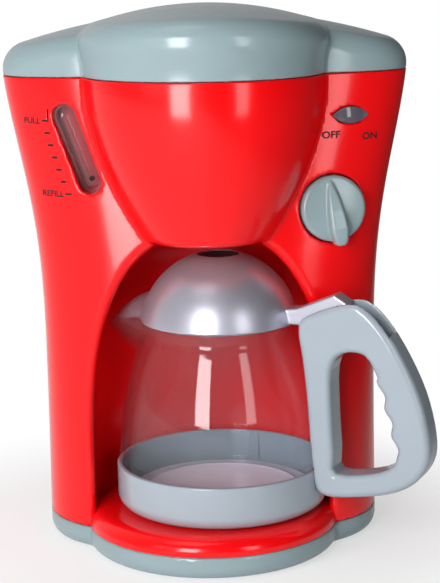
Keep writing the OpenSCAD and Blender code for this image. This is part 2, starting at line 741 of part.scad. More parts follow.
module tank_screws() color("silver") mirrored() for (p = [tank_screw_front, tank_screw_back])
    translate([p[0], p[1], deck_z + face_gap / 4]) screw(8);

// ---------------------------------------------------------------- gauge and lens
module gauge_window() color(clear) at_gauge() difference() {
    union() {
        translate([0, 0, -1.4]) linear_extrude(1.3) slot_2d(gauge_r + flange, gauge_span);
        translate([0, 0, -0.2]) linear_extrude(2.2) slot_2d(gauge_r - fit, gauge_span);
        translate([0, 0, 1]) blister(gauge_r - fit);
    }
    translate([0, 0, -3]) linear_extrude(4) slot_2d(gauge_r - 1.3, gauge_span);
    translate([0, 0, 1]) blister(gauge_r - 1.3);
}

// half capsule lying in the XY plane, bulging to +Z
module blister(r) intersection() {
    union() {
        translate([0, gauge_span / 2, 0]) rotate([90, 0, 0]) cylinder(h = gauge_span, r = r);
        for (s = [-1, 1]) translate([0, s * gauge_span / 2, 0]) sphere(r);
    }
    translate([-r - 1, -gauge_span, -eps]) cube([2 * r + 2, 2 * gauge_span, r + 2]);
}

gauge_depth = 8;

module gauge_backing() color("#8d1414") at_gauge() difference() {
    union() {
        translate([0, 0, -1.6 - gauge_depth]) linear_extrude(gauge_depth)
            slot_2d(gauge_r + flange, gauge_span);
        translate([0, -gauge_span / 2, -1.6 - gauge_depth - 4]) cylinder(h = 5, r = barb_r, $fn = 32);
    }
    translate([0, 0, -gauge_depth]) linear_extrude(gauge_depth + 1) slot_2d(gauge_r - 1.3, gauge_span);
    translate([0, -gauge_span / 2, -1.6 - gauge_depth - 5]) cylinder(h = 9, r = barb_r - 0.8, $fn = 32);
}

gauge_foot_x = gauge_x + sin(gauge_lean) * gauge_span / 2;
gauge_foot_z = gauge_z - cos(gauge_lean) * gauge_span / 2;
gauge_foot_y = gauge_y + 1.6 + gauge_depth + face_gap;

module gauge_hose() color("#b9c0c4") hose([
    [gauge_foot_x, gauge_foot_y, gauge_foot_z],
    [gauge_foot_x, gauge_foot_y + 4.4, gauge_foot_z],
    [gauge_foot_x, gauge_foot_y + 7, gauge_foot_z],
    [gauge_foot_x + 1, gauge_port_y - 3.4, tank_port_z - 1.4],
    [gauge_foot_x + 3.6, gauge_port_y - 0.8, tank_port_z - 0.5],
    [-tank_w - 8, gauge_port_y, tank_port_z],
    [-tank_w - face_gap, gauge_port_y, tank_port_z]], hose_r, hose_bore, [0, 0, 1]);

module indicator_lens() color("#4a4650") at_lens() {
    translate([0, 0, -lens_seat + face_gap / 2]) linear_extrude(1.6) almond(lens_len - 0.3, lens_h - 0.3);
    intersection() {
        translate([0, 0, -14.2]) sphere(r = 16, $fn = 96);
        linear_extrude(6) almond(lens_len - 0.9, lens_h - 0.9);
    }
    translate([0, 0, -4]) linear_extrude(3.4) almond(lens_len - 2, lens_h - 1.8);
}

module led_board() color("#2f6b3a") at_lens() difference() {
    translate([-5, -8.4, -board_depth - board_t + 0.05]) cube([10, 16.8, board_t]);
    for (s = [-1, 1]) translate([0, s * board_post_y, -board_depth - 2])
        cylinder(h = 3, r = board_hole_r, $fn = 32);
}

module led_lamp() color("#d8d0d0") at_lens() {
    translate([0, 0, -board_depth + 0.05]) cylinder(h = 0.9, r = 1.9, $fn = 32);
    translate([0, 0, -board_depth + 0.9]) cylinder(h = 2, r = 1.5, $fn = 32);
    translate([0, 0, -board_depth + 2.9]) sphere(r = 1.5, $fn = 32);
}

// ---------------------------------------------------------------- knob train
knob_face = 3.6;
knob_skirt = well_floor + 1;

module control_knob() color(grey) at_knob() difference() {
    union() {
        rotate_extrude($fn = 96) polygon([[0, knob_skirt], [knob_r, knob_skirt], [knob_r, 0.6],
            [knob_r - 0.5, 2], [knob_r - 1.9, 3], [knob_r * 0.6, knob_face], [0, knob_face + 0.5]]);
        rotate(pointer_off_deg) pointer();
    }
    translate([0, 0, knob_skirt - 1])
        cylinder(h = shaft_top + face_gap - knob_skirt + 1, r = shaft_r + fit / 2);
}

// tapering grip rib, with its point up and its tail past the rim
module pointer() {
    hull() {
        translate([0, 12.2, 2.4]) cylinder(h = 1.4, r = 0.7, $fn = 20);
        translate([0, -2, 3]) cylinder(h = 5.2, r1 = 3.6, r2 = 2.6, $fn = 28);
        translate([0, -9, 3]) cylinder(h = 6, r1 = 3.8, r2 = 2.8, $fn = 28);
    }
    hull() {
        translate([0, -9, 3]) cylinder(h = 6, r1 = 3.8, r2 = 2.8, $fn = 28);
        translate([0, -14.2, 2.6]) cylinder(h = 5.2, r1 = 2.5, r2 = 2, $fn = 28);
    }
}

shaft_end = -valve_depth - valve_len / 2 - 0.4;
shaft_top = knob_face - 1.2;
cam_depth = -14;
cam_reach = shaft_r + 3.7;
switch_x = 8.5;

module knob_shaft() color("#d9d9d4") at_knob() difference() {
    union() {
        translate([0, 0, shaft_end]) cylinder(h = shaft_top - shaft_end, r = shaft_r);
        translate([0, 0, cam_depth]) cylinder(h = 3, r = shaft_r + 1.2);
        rotate(60) translate([1, -1.5, cam_depth + 0.4]) cube([cam_reach - 1, 3, 2.2]);
    }
    translate([0, 0, -valve_depth]) rotate([90, 0, 20])
        cylinder(h = 20, r = barb_r - 0.4, center = true, $fn = 32);
    translate([0, 0, shaft_end - 1]) cylinder(h = shaft_screw_len + 1.2, r = screw_r, $fn = 32);
}

// washer-head screw that keeps the shaft in the valve
shaft_screw_len = 5;

module shaft_screw() color("silver") at_knob() translate([0, 0, shaft_end]) rotate([180, 0, 0]) {
    screw(shaft_screw_len);
    cylinder(h = 0.8, r = shaft_r + 1.4);
}

module valve_body() color("#e6e6e0") at_knob() translate([0, 0, -valve_depth]) difference() {
    union() {
        translate([0, 0, -valve_len / 2]) cylinder(h = valve_len, r = valve_r);
        rotate([-90, 0, 0]) cylinder(h = valve_r + 6, r = barb_r, $fn = 32);
        rotate([0, -90, 0]) cylinder(h = valve_r + 6, r = barb_r, $fn = 32);
    }
    translate([0, 0, -valve_len]) cylinder(h = 2 * valve_len, r = shaft_r + run_gap);
    rotate([-90, 0, 0]) cylinder(h = 40, r = barb_r - 0.8, $fn = 32);
    rotate([0, -90, 0]) cylinder(h = 40, r = barb_r - 0.8, $fn = 32);
}

valve_top = valve_r + face_gap;
valve_at = [valve_x, valve_y, valve_z];
valve_up = [-sin(knob_yaw) * sin(knob_tilt), cos(knob_yaw) * sin(knob_tilt), cos(knob_tilt)];

module inlet_hose() color("#b9c0c4") hose([
    [tank_w + face_gap, valve_y, tank_port_z],
    [tank_w + 6, valve_y, tank_port_z],
    [valve_x - 2.4, valve_y + 0.4, tank_port_z + 0.5],
    valve_at + (valve_r + 8.2) * valve_up,
    valve_at + (valve_r + 6) * valve_up,
    valve_at + valve_top * valve_up], hose_r, hose_bore, [0, 1, 0]);

nozzle_r = 4;
nozzle_pipe_z = liner_top_z + 5;

module outlet_hose() color("#b9c0c4") {
    left = [-cos(knob_yaw), -sin(knob_yaw), 0];
    start = valve_at + valve_top * left;
    hose([start, start + 14 * left, [3, 6, nozzle_pipe_z], [0, 3, nozzle_pipe_z],
        [0, bay_y + nozzle_r + face_gap, nozzle_pipe_z]], hose_r, hose_bore, [0, 0, 1]);
}

module drip_nozzle() color("#3a3a3e") translate([0, bay_y, 0]) difference() {
    union() {
        translate([0, 0, head_z + recess_depth + 0.2])
            cylinder(h = nozzle_pipe_z + 4 - head_z - recess_depth, r = nozzle_r);
        translate([0, 0, liner_top_z + face_gap]) cylinder(h = 1.6, r = nozzle_r + 2);
        translate([0, 0, nozzle_pipe_z]) rotate([-90, 0, 0]) cylinder(h = nozzle_r + 7, r = barb_r, $fn = 32);
    }
    translate([0, 0, head_z]) cylinder(h = nozzle_pipe_z + 1 - head_z, r = 1.8, $fn = 32);
    translate([0, 0, nozzle_pipe_z]) rotate([-90, 0, 0]) cylinder(h = 20, r = barb_r - 0.8, $fn = 32);
}

module leaf_switch() color("#2c2c30") at_knob() {
    translate([switch_x, -6, cam_depth - 1]) cube([4, 14, 5]);
    translate([7.2, -5, cam_depth + 0.6]) cube([0.4, 12, 2]);
    translate([7.2, 5.6, cam_depth + 0.6]) cube([2, 1.4, 2]);
}

// ---------------------------------------------------------------- battery box
box_y1 = mid_y + reach_back - wall - 0.1;
cell_y = box_y0 + box_wall + cell_r + 0.4;
cell_zs = [box_z0 + box_wall + cell_r + 0.5, box_z0 + box_wall + 3 * cell_r + 1.3];
door_screw_z = box_z1 - 4.6;

module battery_box() color("#2c2c30") difference() {
    union() {
        translate([-box_w, box_y0, box_z0]) cube([2 * box_w, box_y1 - box_y0 - 1.2, box_z1 - box_z0]);
        translate([-box_w - 2, box_y1 - 3, box_z0 - 1.6]) cube([2 * box_w + 4, 1.8, box_z1 - box_z0 + 3.2]);
    }
    translate([-box_w + box_wall, box_y0 + box_wall, box_z0 + box_wall])
        cube([2 * (box_w - box_wall), 40, door_screw_z - 3.4 - box_z0 - box_wall]);
    translate([0, box_y1 - 12, door_screw_z]) rotate([-90, 0, 0]) cylinder(h = 20, r = screw_r, $fn = 32);
}

module cells() color("#5b5f66") for (i = [0, 1]) translate([0, cell_y, cell_zs[i]]) rotate([0, 90, 0])
    mirror([0, 0, i]) translate([0, 0, -cell_len / 2]) {
        cylinder(h = cell_len - 1.2, r = cell_r);
        translate([0, 0, cell_len - 1.3]) cylinder(h = 1.3, r = 2.7, $fn = 32);
    }

module battery_contacts() color("silver") for (s = [-1, 1], z = cell_zs)
    translate([s * (cell_len / 2 + face_gap), cell_y, z]) rotate([0, s * 90, 0]) {
        cylinder(h = contact_room - 2 * face_gap - 0.3, r = 3.4, $fn = 32);
        translate([-5, -5, contact_room - 2 * face_gap - 0.5]) cube([10, 10, 0.5]);
    }

module battery_door() color(red) difference() {
    union() {
        translate([-door_half_w, box_y1 - 0.9, door_z0]) cube([2 * door_half_w, 2.2, door_z1 - door_z0]);
        for (i = [0 : 4]) translate([-12, box_y1 + 1.2, door_z0 + 4 + 3 * i]) cube([24, 0.6, 1.2]);
    }
    translate([0, box_y1 - 3, door_screw_z]) rotate([-90, 0, 0])
        cylinder(h = 20, r = screw_r + fit, $fn = 32);
    translate([0, box_y1 - 0.4, door_screw_z]) rotate([-90, 0, 0])
        cylinder(h = 20, r = screw_head_r + 0.3, $fn = 32);
}

module door_screw() color("silver") translate([0, box_y1 - 0.35, door_screw_z]) rotate([-90, 0, 0]) screw(9);

// ---------------------------------------------------------------- shell screws
module shell_screws() color("silver") mirrored() for (p = shell_screw_at)
    translate([p[0], mid_y + 4.05, p[1]]) rotate([-90, 0, 0]) screw(14);

module base_screws() color("silver") mirrored() for (p = [base_screw_front, base_screw_back])
    translate([p[0], p[1], 4.45]) rotate([180, 0, 0]) screw(13);

// ---------------------------------------------------------------- carafe
foot_z = plate_z + foot_gap;
cup_floor_z = foot_z + 3.5;
jug_r = cup_r - cup_wall - 0.2;
jug_floor_z = cup_floor_z + 0.2;

module at_carafe() translate([carafe_x, bay_y, 0]) rotate(-handle_deg) children();

// stands a profile drawn in (distance from the axis, height) upright, across the handle
module upright(t) rotate([90, 0, 0]) translate([0, 0, -t / 2]) linear_extrude(t) children();

module carafe_cup() color(pale_grey) at_carafe() difference() {
    rotate_extrude($fn = 96) {
        heel = [for (i = [0 : 5]) let(a = 90 * i / 5) [cup_r - 6 + 6 * sin(a), foot_z + 6 - 6 * cos(a)]];
        polygon(concat([[0, foot_z + 1.2], [34, foot_z + 1.2], [35, foot_z]], heel,
            [[cup_r, cup_top_z - 0.5], [cup_r - 0.5, cup_top_z], [cup_r - cup_wall, cup_top_z],
             [cup_r - cup_wall, cup_floor_z], [0, cup_floor_z]]));
    }
    translate([cup_r - 4, -4 - fit, 27 - fit]) cube([10, 8 + 2 * fit, 6 + 2 * fit]);
}

neck_z = rim_z - 5;
belly_steps = 12;
// share of the way from belly to neck, first a slow taper and then the shoulder
function shoulder(t) = belly_taper * t + (1 - belly_taper) * pow(smooth(t), 3);
jug_side = [for (i = [0 : belly_steps]) let(t = i / belly_steps)
    [jug_r - (jug_r - neck_r) * shoulder(t), belly_z + t * (neck_z - belly_z)]];
lip_slope = 10;

module jug_spout(r, back) hull() {
    translate([-53.6, 0, 93.6]) sphere(r = r, $fn = 16);
    translate([-26, 0, 84]) sphere(r = back - 4, $fn = 16);
    translate([-50, 0, 99]) sphere(r = r, $fn = 16);
    translate([-28, 0, 94]) cylinder(h = 9, r = back + 3, $fn = 24);
}

module above_spout(lift) translate([-neck_r, 0, rim_z + lift]) rotate([0, -lip_slope, 0])
    translate([-60, -40, 0]) cube([60, 80, 40]);

module carafe_jug() color(clear) at_carafe() difference() {
    union() {
        rotate_extrude($fn = 96) polygon(concat([[0, jug_floor_z], [jug_r - 2, jug_floor_z],
            [jug_r, jug_floor_z + 2]], jug_side, [[neck_r, rim_z], [0, rim_z]]));
        difference() {
            jug_spout(3, 8);
            above_spout(0);
            translate([-25, -30, 60]) cube([60, 60, 60]);
        }
    }
    rotate_extrude($fn = 96) polygon(concat([[0, jug_floor_z + jug_wall], [jug_r - 3, jug_floor_z + jug_wall],
        [jug_r - jug_wall, jug_floor_z + 3.2]], [for (p = jug_side) [p[0] - jug_wall, p[1]]],
        [[neck_r - jug_wall, rim_z + 1], [0, rim_z + 1]]));
    jug_spout(3 - jug_wall * 0.8, 8 - jug_wall);
    translate([-80, -60, rim_z]) cube([160, 120, 20]);
}

// side view of the handle, as (distance from the axis, height)
handle_outer = [[cup_r + 1.5, handle_foot_z + 0.5], [66, handle_foot_z], [handle_reach - 18, 31],
    [handle_reach - 7, 35], [handle_reach - 1, 42], [handle_reach, 54], [handle_reach - 3, 67],
    [handle_reach - 9, 80], [handle_reach - 19, 96], [handle_reach - 31, handle_top_z - 1.5],
    [62, handle_top_z], [52, 108], [43, 103], [41, 98], [45, 86], [48, 66], [48, 46]];
// front of the grip, with shallow grooves for the fingers
groove_steps = 18;
finger_edge = [for (i = [0 : groove_steps]) let(t = i / groove_steps)
    [handle_reach - grip_t - 11 * pow(t, 1.5) + groove_depth * sin(360 * finger_grooves * t), 48 + 34 * t]];
handle_window = concat([[62, handle_foot_z + foot_t + 0.5], [76, handle_foot_z + foot_t],
    [handle_reach - grip_t - 1.5, handle_foot_z + foot_t + 1.5]], finger_edge,
    [[72, 90.5], [66, 93], [60, 91.5], [58, 88], [60, 63], [60, 47]]);
thumb_channel = [[30, lid_hinge_z - 4.1], [lid_hinge_r + 5, lid_hinge_z - 4.1], [58, thumb_floor_z + 1],
    [66, thumb_floor_z], [74, thumb_floor_z - 6], [79, thumb_floor_z - 3], [95, 118], [30, 125]];
// inside of the stem, clear of the jug
handle_seat = concat([[30, 27], [cup_r + fit, 27], [cup_r + fit, cup_top_z + 0.6]],
    [for (p = jug_side) [p[0] + 0.4, p[1]]], [[neck_r + 1.4, 104], [30, 104]]);

module carafe_handle() color(pale_grey) at_carafe() difference() {
    union() {
        difference() {
            upright(handle_t) polygon(closed_curve(handle_outer, 4));
            cylinder(h = cup_top_z + 1, r = cup_r + fit);
            rotate_extrude($fn = 96) polygon(handle_seat);
        }
        translate([cup_r - cup_wall + 0.3, -4, 27]) cube([6, 8, 6]);
    }
    upright(40) polygon(closed_curve(handle_window, 2));
    upright(channel_w) polygon(thumb_channel);
    translate([lid_hinge_r, 0, lid_hinge_z]) rotate([90, 0, 0])
        cylinder(h = 40, r = lid_pin_r, center = true, $fn = 32);
}

// dome of the lid, an ellipse in section
lid_rim_z = rim_z + 0.4;
dome_z0 = lid_rim_z - 4;
dome_steps = 14;
function dome_z(r, sunk) = dome_z0 + (lid_h + 4 - sunk) * sqrt(1 - pow(r / (lid_r - sunk), 2));
function dome_curve(sunk, r0) = let(out = lid_r - sunk, a0 = acos(r0 / out), a1 = acos(drip_r / out))
    [for (i = [0 : dome_steps]) let(r = out * cos(a0 + i * (a1 - a0) / dome_steps)) [r, dome_z(r, sunk)]];

skirt_r = neck_r - jug_wall - 0.4;
skirt_in_r = skirt_r - 1.4;
skirt_h = 4;
arm_w = channel_w - 2 * arm_gap;
lid_arm = [[31.5, lid_rim_z + 0.6], [31.5, lid_rim_z + 5], [37, lid_rim_z + 5], [44, lever_top_z - 6.5],
    [lever_tip_r - 6, lever_top_z], [lever_tip_r, lever_top_z - 3.5], [lever_tip_r - 1, lever_top_z - 5.5],
    [54, lever_top_z - 8], [lid_hinge_r + 3, lid_hinge_z], [lid_hinge_r - 3, lid_hinge_z - 1.3],
        [38, lid_rim_z + 0.6]];

module carafe_lid() color(silver) at_carafe() difference() {
    union() {
        rotate_extrude($fn = 96) {
            inner = dome_curve(lid_wall, skirt_in_r);
            polygon(concat([[lid_r, lid_rim_z]], dome_curve(0, lid_r - 0.3),
                [for (i = [dome_steps : -1 : 0]) inner[i]],
                [[skirt_in_r, rim_z - skirt_h], [skirt_r, rim_z - skirt_h], [skirt_r, lid_rim_z]]));
        }
        lid_spout();
        upright(arm_w) difference() {
            union() {
                polygon(lid_arm);
                translate([lid_hinge_r, lid_hinge_z]) circle(3.3, $fn = 48);
            }
            translate([lid_hinge_r, lid_hinge_z]) circle(lid_pin_r + run_gap, $fn = 32);
        }
    }
    rotate_extrude($fn = 96) polygon(concat([[0, neck_z - 5], [skirt_in_r, neck_z - 5]],
        dome_curve(lid_wall, skirt_in_r), [[drip_r, crown_z], [0, crown_z]]));
}

// hood over the jug's spout, narrowing and falling toward its tip
hood_r = 25;
hood_tip_r = 51.6;
hood_steps = 7;
function hood_foot(r) = rim_z + 0.5 - tan(lip_slope) * max(0, r - neck_r);

module lid_spout() loft([for (i = [0 : hood_steps])
    let(t = i / hood_steps, r = hood_r + t * (hood_tip_r - hood_r), foot = hood_foot(r),
        w = hood_w - (hood_w - hood_tip_w) * pow(t, 1.45), top = hood_top_z - (hood_top_z - hood_tip_z)
            * pow(t, 2.2))
    [for (a = [0 : 15 : 180]) [-r, -w * cos(a), foot + (top - foot) * sin(a)]]]);

module lid_drip_ring() color("#26262a") at_carafe() {
    z = dome_z(drip_r, 0);
    rotate_extrude($fn = 72) polygon([[drip_r - fit, z - 2.4], [drip_r - fit, z - 0.4],
        [drip_r - 1.6, z - 0.2],
        [3.2, z - 3], [2.4, z - 3], [2.4, z - 6.4], [3.8, z - 6.4], [3.8, z - 4.2], [drip_r - 1.8, z - 2.4]]);
}

module lid_hinge_pin() color("silver") at_carafe() translate([lid_hinge_r, 0, lid_hinge_z]) rotate([90, 0, 0])
    cylinder(h = handle_t - 1, r = lid_pin_r, center = true, $fn = 32);

front_shell();
rear_shell();
alcove_liner();
base();
warming_plate();
top_cover();
cover_hinge_pins();
water_tank();
tank_screws();
gauge_window();
gauge_backing();
gauge_hose();
indicator_lens();
led_board();
led_lamp();
control_knob();
knob_shaft();
shaft_screw();
valve_body();
inlet_hose();
outlet_hose();
drip_nozzle();
leaf_switch();
battery_box();
cells();
battery_contacts();
battery_door();
door_screw();
shell_screws();
base_screws();
carafe_cup();
carafe_jug();
carafe_handle();
carafe_lid();
lid_drip_ring();
lid_hinge_pin();
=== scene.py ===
import math

import bmesh
import bpy
import numpy as np
from mathutils import Matrix, Vector


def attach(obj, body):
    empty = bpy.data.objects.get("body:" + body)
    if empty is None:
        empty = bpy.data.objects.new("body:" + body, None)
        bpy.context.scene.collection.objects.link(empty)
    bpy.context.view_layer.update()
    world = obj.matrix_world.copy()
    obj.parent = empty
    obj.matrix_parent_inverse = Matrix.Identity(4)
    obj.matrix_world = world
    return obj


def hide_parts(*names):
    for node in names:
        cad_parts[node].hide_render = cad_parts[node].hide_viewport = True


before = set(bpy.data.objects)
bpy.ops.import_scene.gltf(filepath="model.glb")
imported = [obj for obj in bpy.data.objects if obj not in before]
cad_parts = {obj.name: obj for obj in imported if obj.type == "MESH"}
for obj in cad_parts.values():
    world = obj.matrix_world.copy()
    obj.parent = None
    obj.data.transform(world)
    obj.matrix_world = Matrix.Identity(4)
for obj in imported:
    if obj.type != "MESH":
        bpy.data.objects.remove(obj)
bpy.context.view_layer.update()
MM = 0.001

# ------------------------------------------------------------ sizes in mm
# heights and the plane between the shells, then the body's plan
SEAM, BASE_H, MID_Y = 207.0, 10.0, 20.0
SKIN = 3.2  # thickness drawn for the hollow shells
HOLLOW_Z = 150.0  # the body is drawn hollow above this height
WAIST, SPREAD, SPREAD_TOP, FLARE = 74.65, 0.4, 65, 15.9
FLARE_Z0, FLARE_Z1, FLARE_BEND = 50.0, 224.0, 2.55
REACH_FOOT, REACH_TOP, REACH_BACK = 56.0, 37.0, 50.0
FRONT_N, BACK_N, WALL = 2.8, 3.2, 2.2
# the brew head, the bay under it and the plate
HEAD_Z, HEAD_FOOT_R, HEAD_TOP_R, HEAD_TOP_Y = 136.5, 28.0, 53.5, -0.7
HEAD_EDGE, HEAD_FILLET = 2.4, 1.4
RECESS_R, RECESS_D = 24.0, 6.0
BAY_Y, BAY_R, ROOM_SHOULDER = -13.0, 52.8, 108.0
ARCH_W, ARCH_BEND, ARCH_TOP = 51.9, 45.0, 140.0
ARCH_BACK, ARCH_EDGE, FLANGE = -5, 4.6, 10.4
PAST = -9  # a cutting outline ends this far below the floor or past the axis
PLATE_Z, PLATE_FLAT, PLATE_R, PLATE_FOOT = 17.7, 47.5, 55.6, 11.6
BASE_ROUND, BASE_DEPTH = 5.0, 2.5
SCREW_HOLE_R, BODY_SCREWS, BASE_SCREWS = 3.2, ((74, 185), (64, 110), (64, 40)), ((60, 4), (48, 50))
# the cover and its hinge
COVER_Z = SEAM + 0.15
HINGE_Y, HINGE_Z, KNUCKLE_R, KNUCKLE_X, KNUCKLE_W = 73.6, 207.2, 3.4, 31, 2.3
# the controls on the front
KNOB = (54.3, -15.6, 149.1)
KNOB_YAW, TILT, KNOB_R = 12.0, 3.0, 14.35
KNOB_RIM, KNOB_GAP, KNOB_WELL, KNOB_TURN = 2.8, 0.6, 5.2, 8
LENS = (62.4, -11.6, 188.9)
LENS_YAW, LENS_L, LENS_H = 18.0, 16.8, 7.6
GAUGE = (-55.4, -9.0, 176.4)
GAUGE_W, GAUGE_SPAN, GAUGE_LEAN, GAUGE_RIM, GAUGE_WELL = 10.2, 30.4, 20.0, 1.6, 14
# the carafe
CARAFE_X, HANDLE_DEG = 4.6, 24.0
CUP_R, CUP_TOP, CUP_WALL = 46.8, 37.3, 2.2
FOOT_Z = PLATE_Z + 0.3
CUP_HEEL, CUP_EDGE = 6, 0.7
SEAT_R, JUG_R, JUG_WALL, NECK_R, RIM_Z = 44.0, 45.9, 1.6, 34.0, 100.2
JUG_FOOT, JUG_OPEN = 21.7, 130  # the outlines run up past the rim, where the lip cuts them
BELLY_Z, NECK_Z, BELLY_TAPER = 40.0, 95.0, 0.42
LID_R, LID_H, LID_WALL, DRIP_R = 34.8, 30.5, 1.8, 9.2
HANDLE_T, CHANNEL_W = 15.0, 10.0
REACH, HANDLE_FOOT, HANDLE_TOP, FOOT_T, GRIP_T, THUMB_Z = 98.0, 27.5, 112.0, 9.8, 14.6, 101.5
GROOVES, GROOVE = 3, 0.9
LID_HINGE = (45.5, 101.5)
LEVER_TIP, LEVER_TOP = 61.0, 115.5
HOOD_R, HOOD_TIP_R, HOOD_W, HOOD_TIP_W, HOOD_TOP, HOOD_TIP = 25.0, 51.6, 12.4, 2.4, 112.0, 98.6
LIP_SLOPE = math.tan(math.radians(10))


# ------------------------------------------------------------ distance fields
def smooth(t):
    t = np.clip(t, 0, 1)
    return t * t * (3 - 2 * t)


def join(a, b, r):
    """Union of two solids with a fillet of radius r."""
    return np.maximum(r, np.minimum(a, b)) - np.hypot(np.maximum(r - a, 0), np.maximum(r - b, 0))


def meet(a, b, r):
    """Intersection of two solids with an edge rounded to radius r."""
    return np.minimum(-r, np.maximum(a, b)) + np.hypot(np.maximum(r + a, 0), np.maximum(r + b, 0))


def cut(a, b, r):
    return meet(a, -b, r)


def polygon(x, y, pts):
    """Signed distance to a closed polygon."""
    pts = np.asarray(pts, float)
    best = np.full(x.shape, 1e12)
    inside = np.zeros(x.shape, bool)
    for (ax, ay), (bx, by) in zip(pts, np.roll(pts, -1, 0)):
        ex, ey = bx - ax, by - ay
        if ex == 0 and ey == 0:
            continue
        wx, wy = x - ax, y - ay
        t = np.clip((wx * ex + wy * ey) / (ex * ex + ey * ey), 0, 1)
        best = np.minimum(best, (wx - ex * t) ** 2 + (wy - ey * t) ** 2)
        if ey != 0:
            crosses = ((ay > y) != (by > y)) & (x < ex * (y - ay) / ey + ax)
            inside ^= crosses
    return np.sqrt(best) * np.where(inside, -1, 1)


def half_w(z):
    foot = SPREAD * np.maximum(0, 1 - z / SPREAD_TOP) ** 2
    return WAIST + foot + FLARE * smooth((z - FLARE_Z0) / (FLARE_Z1 - FLARE_Z0)) ** FLARE_BEND


def outline(x, y, z):
    """Distance to the three-lobed body's wings, their plan taken at height z."""
    zc = np.clip(z, 0, SEAM)
    front = y < MID_Y
    w = half_w(zc)
    w_z = (half_w(zc + 0.5) - half_w(zc - 0.5))
    reach = np.where(front, REACH_FOOT + (REACH_TOP - REACH_FOOT) * zc / SEAM, REACH_BACK)
    r_z = np.where(front, (REACH_TOP - REACH_FOOT) / SEAM, 0)
    n = np.where(front, FRONT_N, BACK_N)
    u, v = np.abs(x) / w, np.abs(y - MID_Y) / reach
    s = np.maximum((u ** n + v ** n) ** (1 / n), 1e-6)
    fu, fv = (u / s) ** (n - 1), (v / s) ** (n - 1)
    slope = fu * u * w_z / w + fv * v * r_z / reach
    return (s - 1) / np.sqrt((fu / w) ** 2 + (fv / reach) ** 2 + slope ** 2)


def head_r(z):
    drop = np.clip((SEAM - z) / (SEAM - HEAD_Z), 0, 1.02)
    return HEAD_TOP_R - (HEAD_TOP_R - HEAD_FOOT_R) * drop ** 1.8


def head_y(z):
    return BAY_Y + (HEAD_TOP_Y - BAY_Y) * (np.clip(z, HEAD_Z, SEAM) - HEAD_Z) / (SEAM - HEAD_Z)


def head(x, y, z):
    dy = y - head_y(z)
    d = np.hypot(x, dy)
    s = (head_r(z + 0.5) - head_r(z - 0.5)) + dy / np.maximum(d, 1) * (head_y(z + 0.5) - head_y(z - 0.5))
    side = (d - head_r(z)) / np.sqrt(1 + s * s)
    return meet(side, HEAD_Z - z, HEAD_EDGE)


def arch_x(z):
    t = np.clip((z - ARCH_BEND) / (ARCH_TOP - ARCH_BEND), 0, 1)
    return ARCH_W * (1 - t ** 2.4) ** 0.4


def arch_outline():
    z = np.append(PAST, np.linspace(ARCH_BEND, HEAD_Z, 40))
    return np.concatenate([np.stack([arch_x(z), z], 1), np.stack([-arch_x(z), z], 1)[::-1]])


def room_outline():
    """The bay's outline out from its axis: an upright wall and a round shoulder up to the brew head."""
    wide, high = BAY_R - HEAD_FOOT_R, HEAD_Z - ROOM_SHOULDER
    shoulder = [[HEAD_FOOT_R + wide * math.cos(a), ROOM_SHOULDER + high * math.sin(a)]
                for a in np.linspace(0, math.pi / 2, 20)]
    return np.array([[PAST, PAST], [BAY_R, PAST]] + shoulder + [[PAST, HEAD_Z]])


ARCH, ROOM = arch_outline(), room_outline()


def arch(x, y, z):
    return np.maximum(polygon(x, z, ARCH), y - ARCH_BACK)


def alcove(x, y, z, wings):
    """The arch's opening, and the wider room behind the flange round it."""
    back = np.maximum(polygon(np.hypot(x, y - BAY_Y), z, ROOM), np.where(y < MID_Y, wings + FLANGE, -50))
    return np.minimum(arch(x, y, z), back)


def local(x, y, z, at, yaw, tilt):
    """Coordinates on a face that looks forward, turned outward by yaw and up by tilt."""
    a, t = math.radians(yaw), math.radians(90 - tilt)
    px, py, pz = x - at[0], y - at[1], z - at[2]
    u = px * math.cos(a) + py * math.sin(a)
    q = -px * math.sin(a) + py * math.cos(a)
    return u, q * math.cos(t) + pz * math.sin(t), -q * math.sin(t) + pz * math.cos(t)


def slot(u, v, r, span):
    return np.hypot(u, np.maximum(np.abs(v) - span / 2, 0)) - r


def almond(u, v, length, h):
    r = (length * length + h * h) / (4 * h)
    return np.maximum(np.hypot(u, v - (r - h / 2)) - r, np.hypot(u, v + (r - h / 2)) - r)


def gauge_local(x, y, z):
    a = math.radians(GAUGE_LEAN)
    px, pz = x - GAUGE[0], z - GAUGE[2]
    return px * math.cos(a) + pz * math.sin(a), -px * math.sin(a) + pz * math.cos(a), GAUGE[1] - y


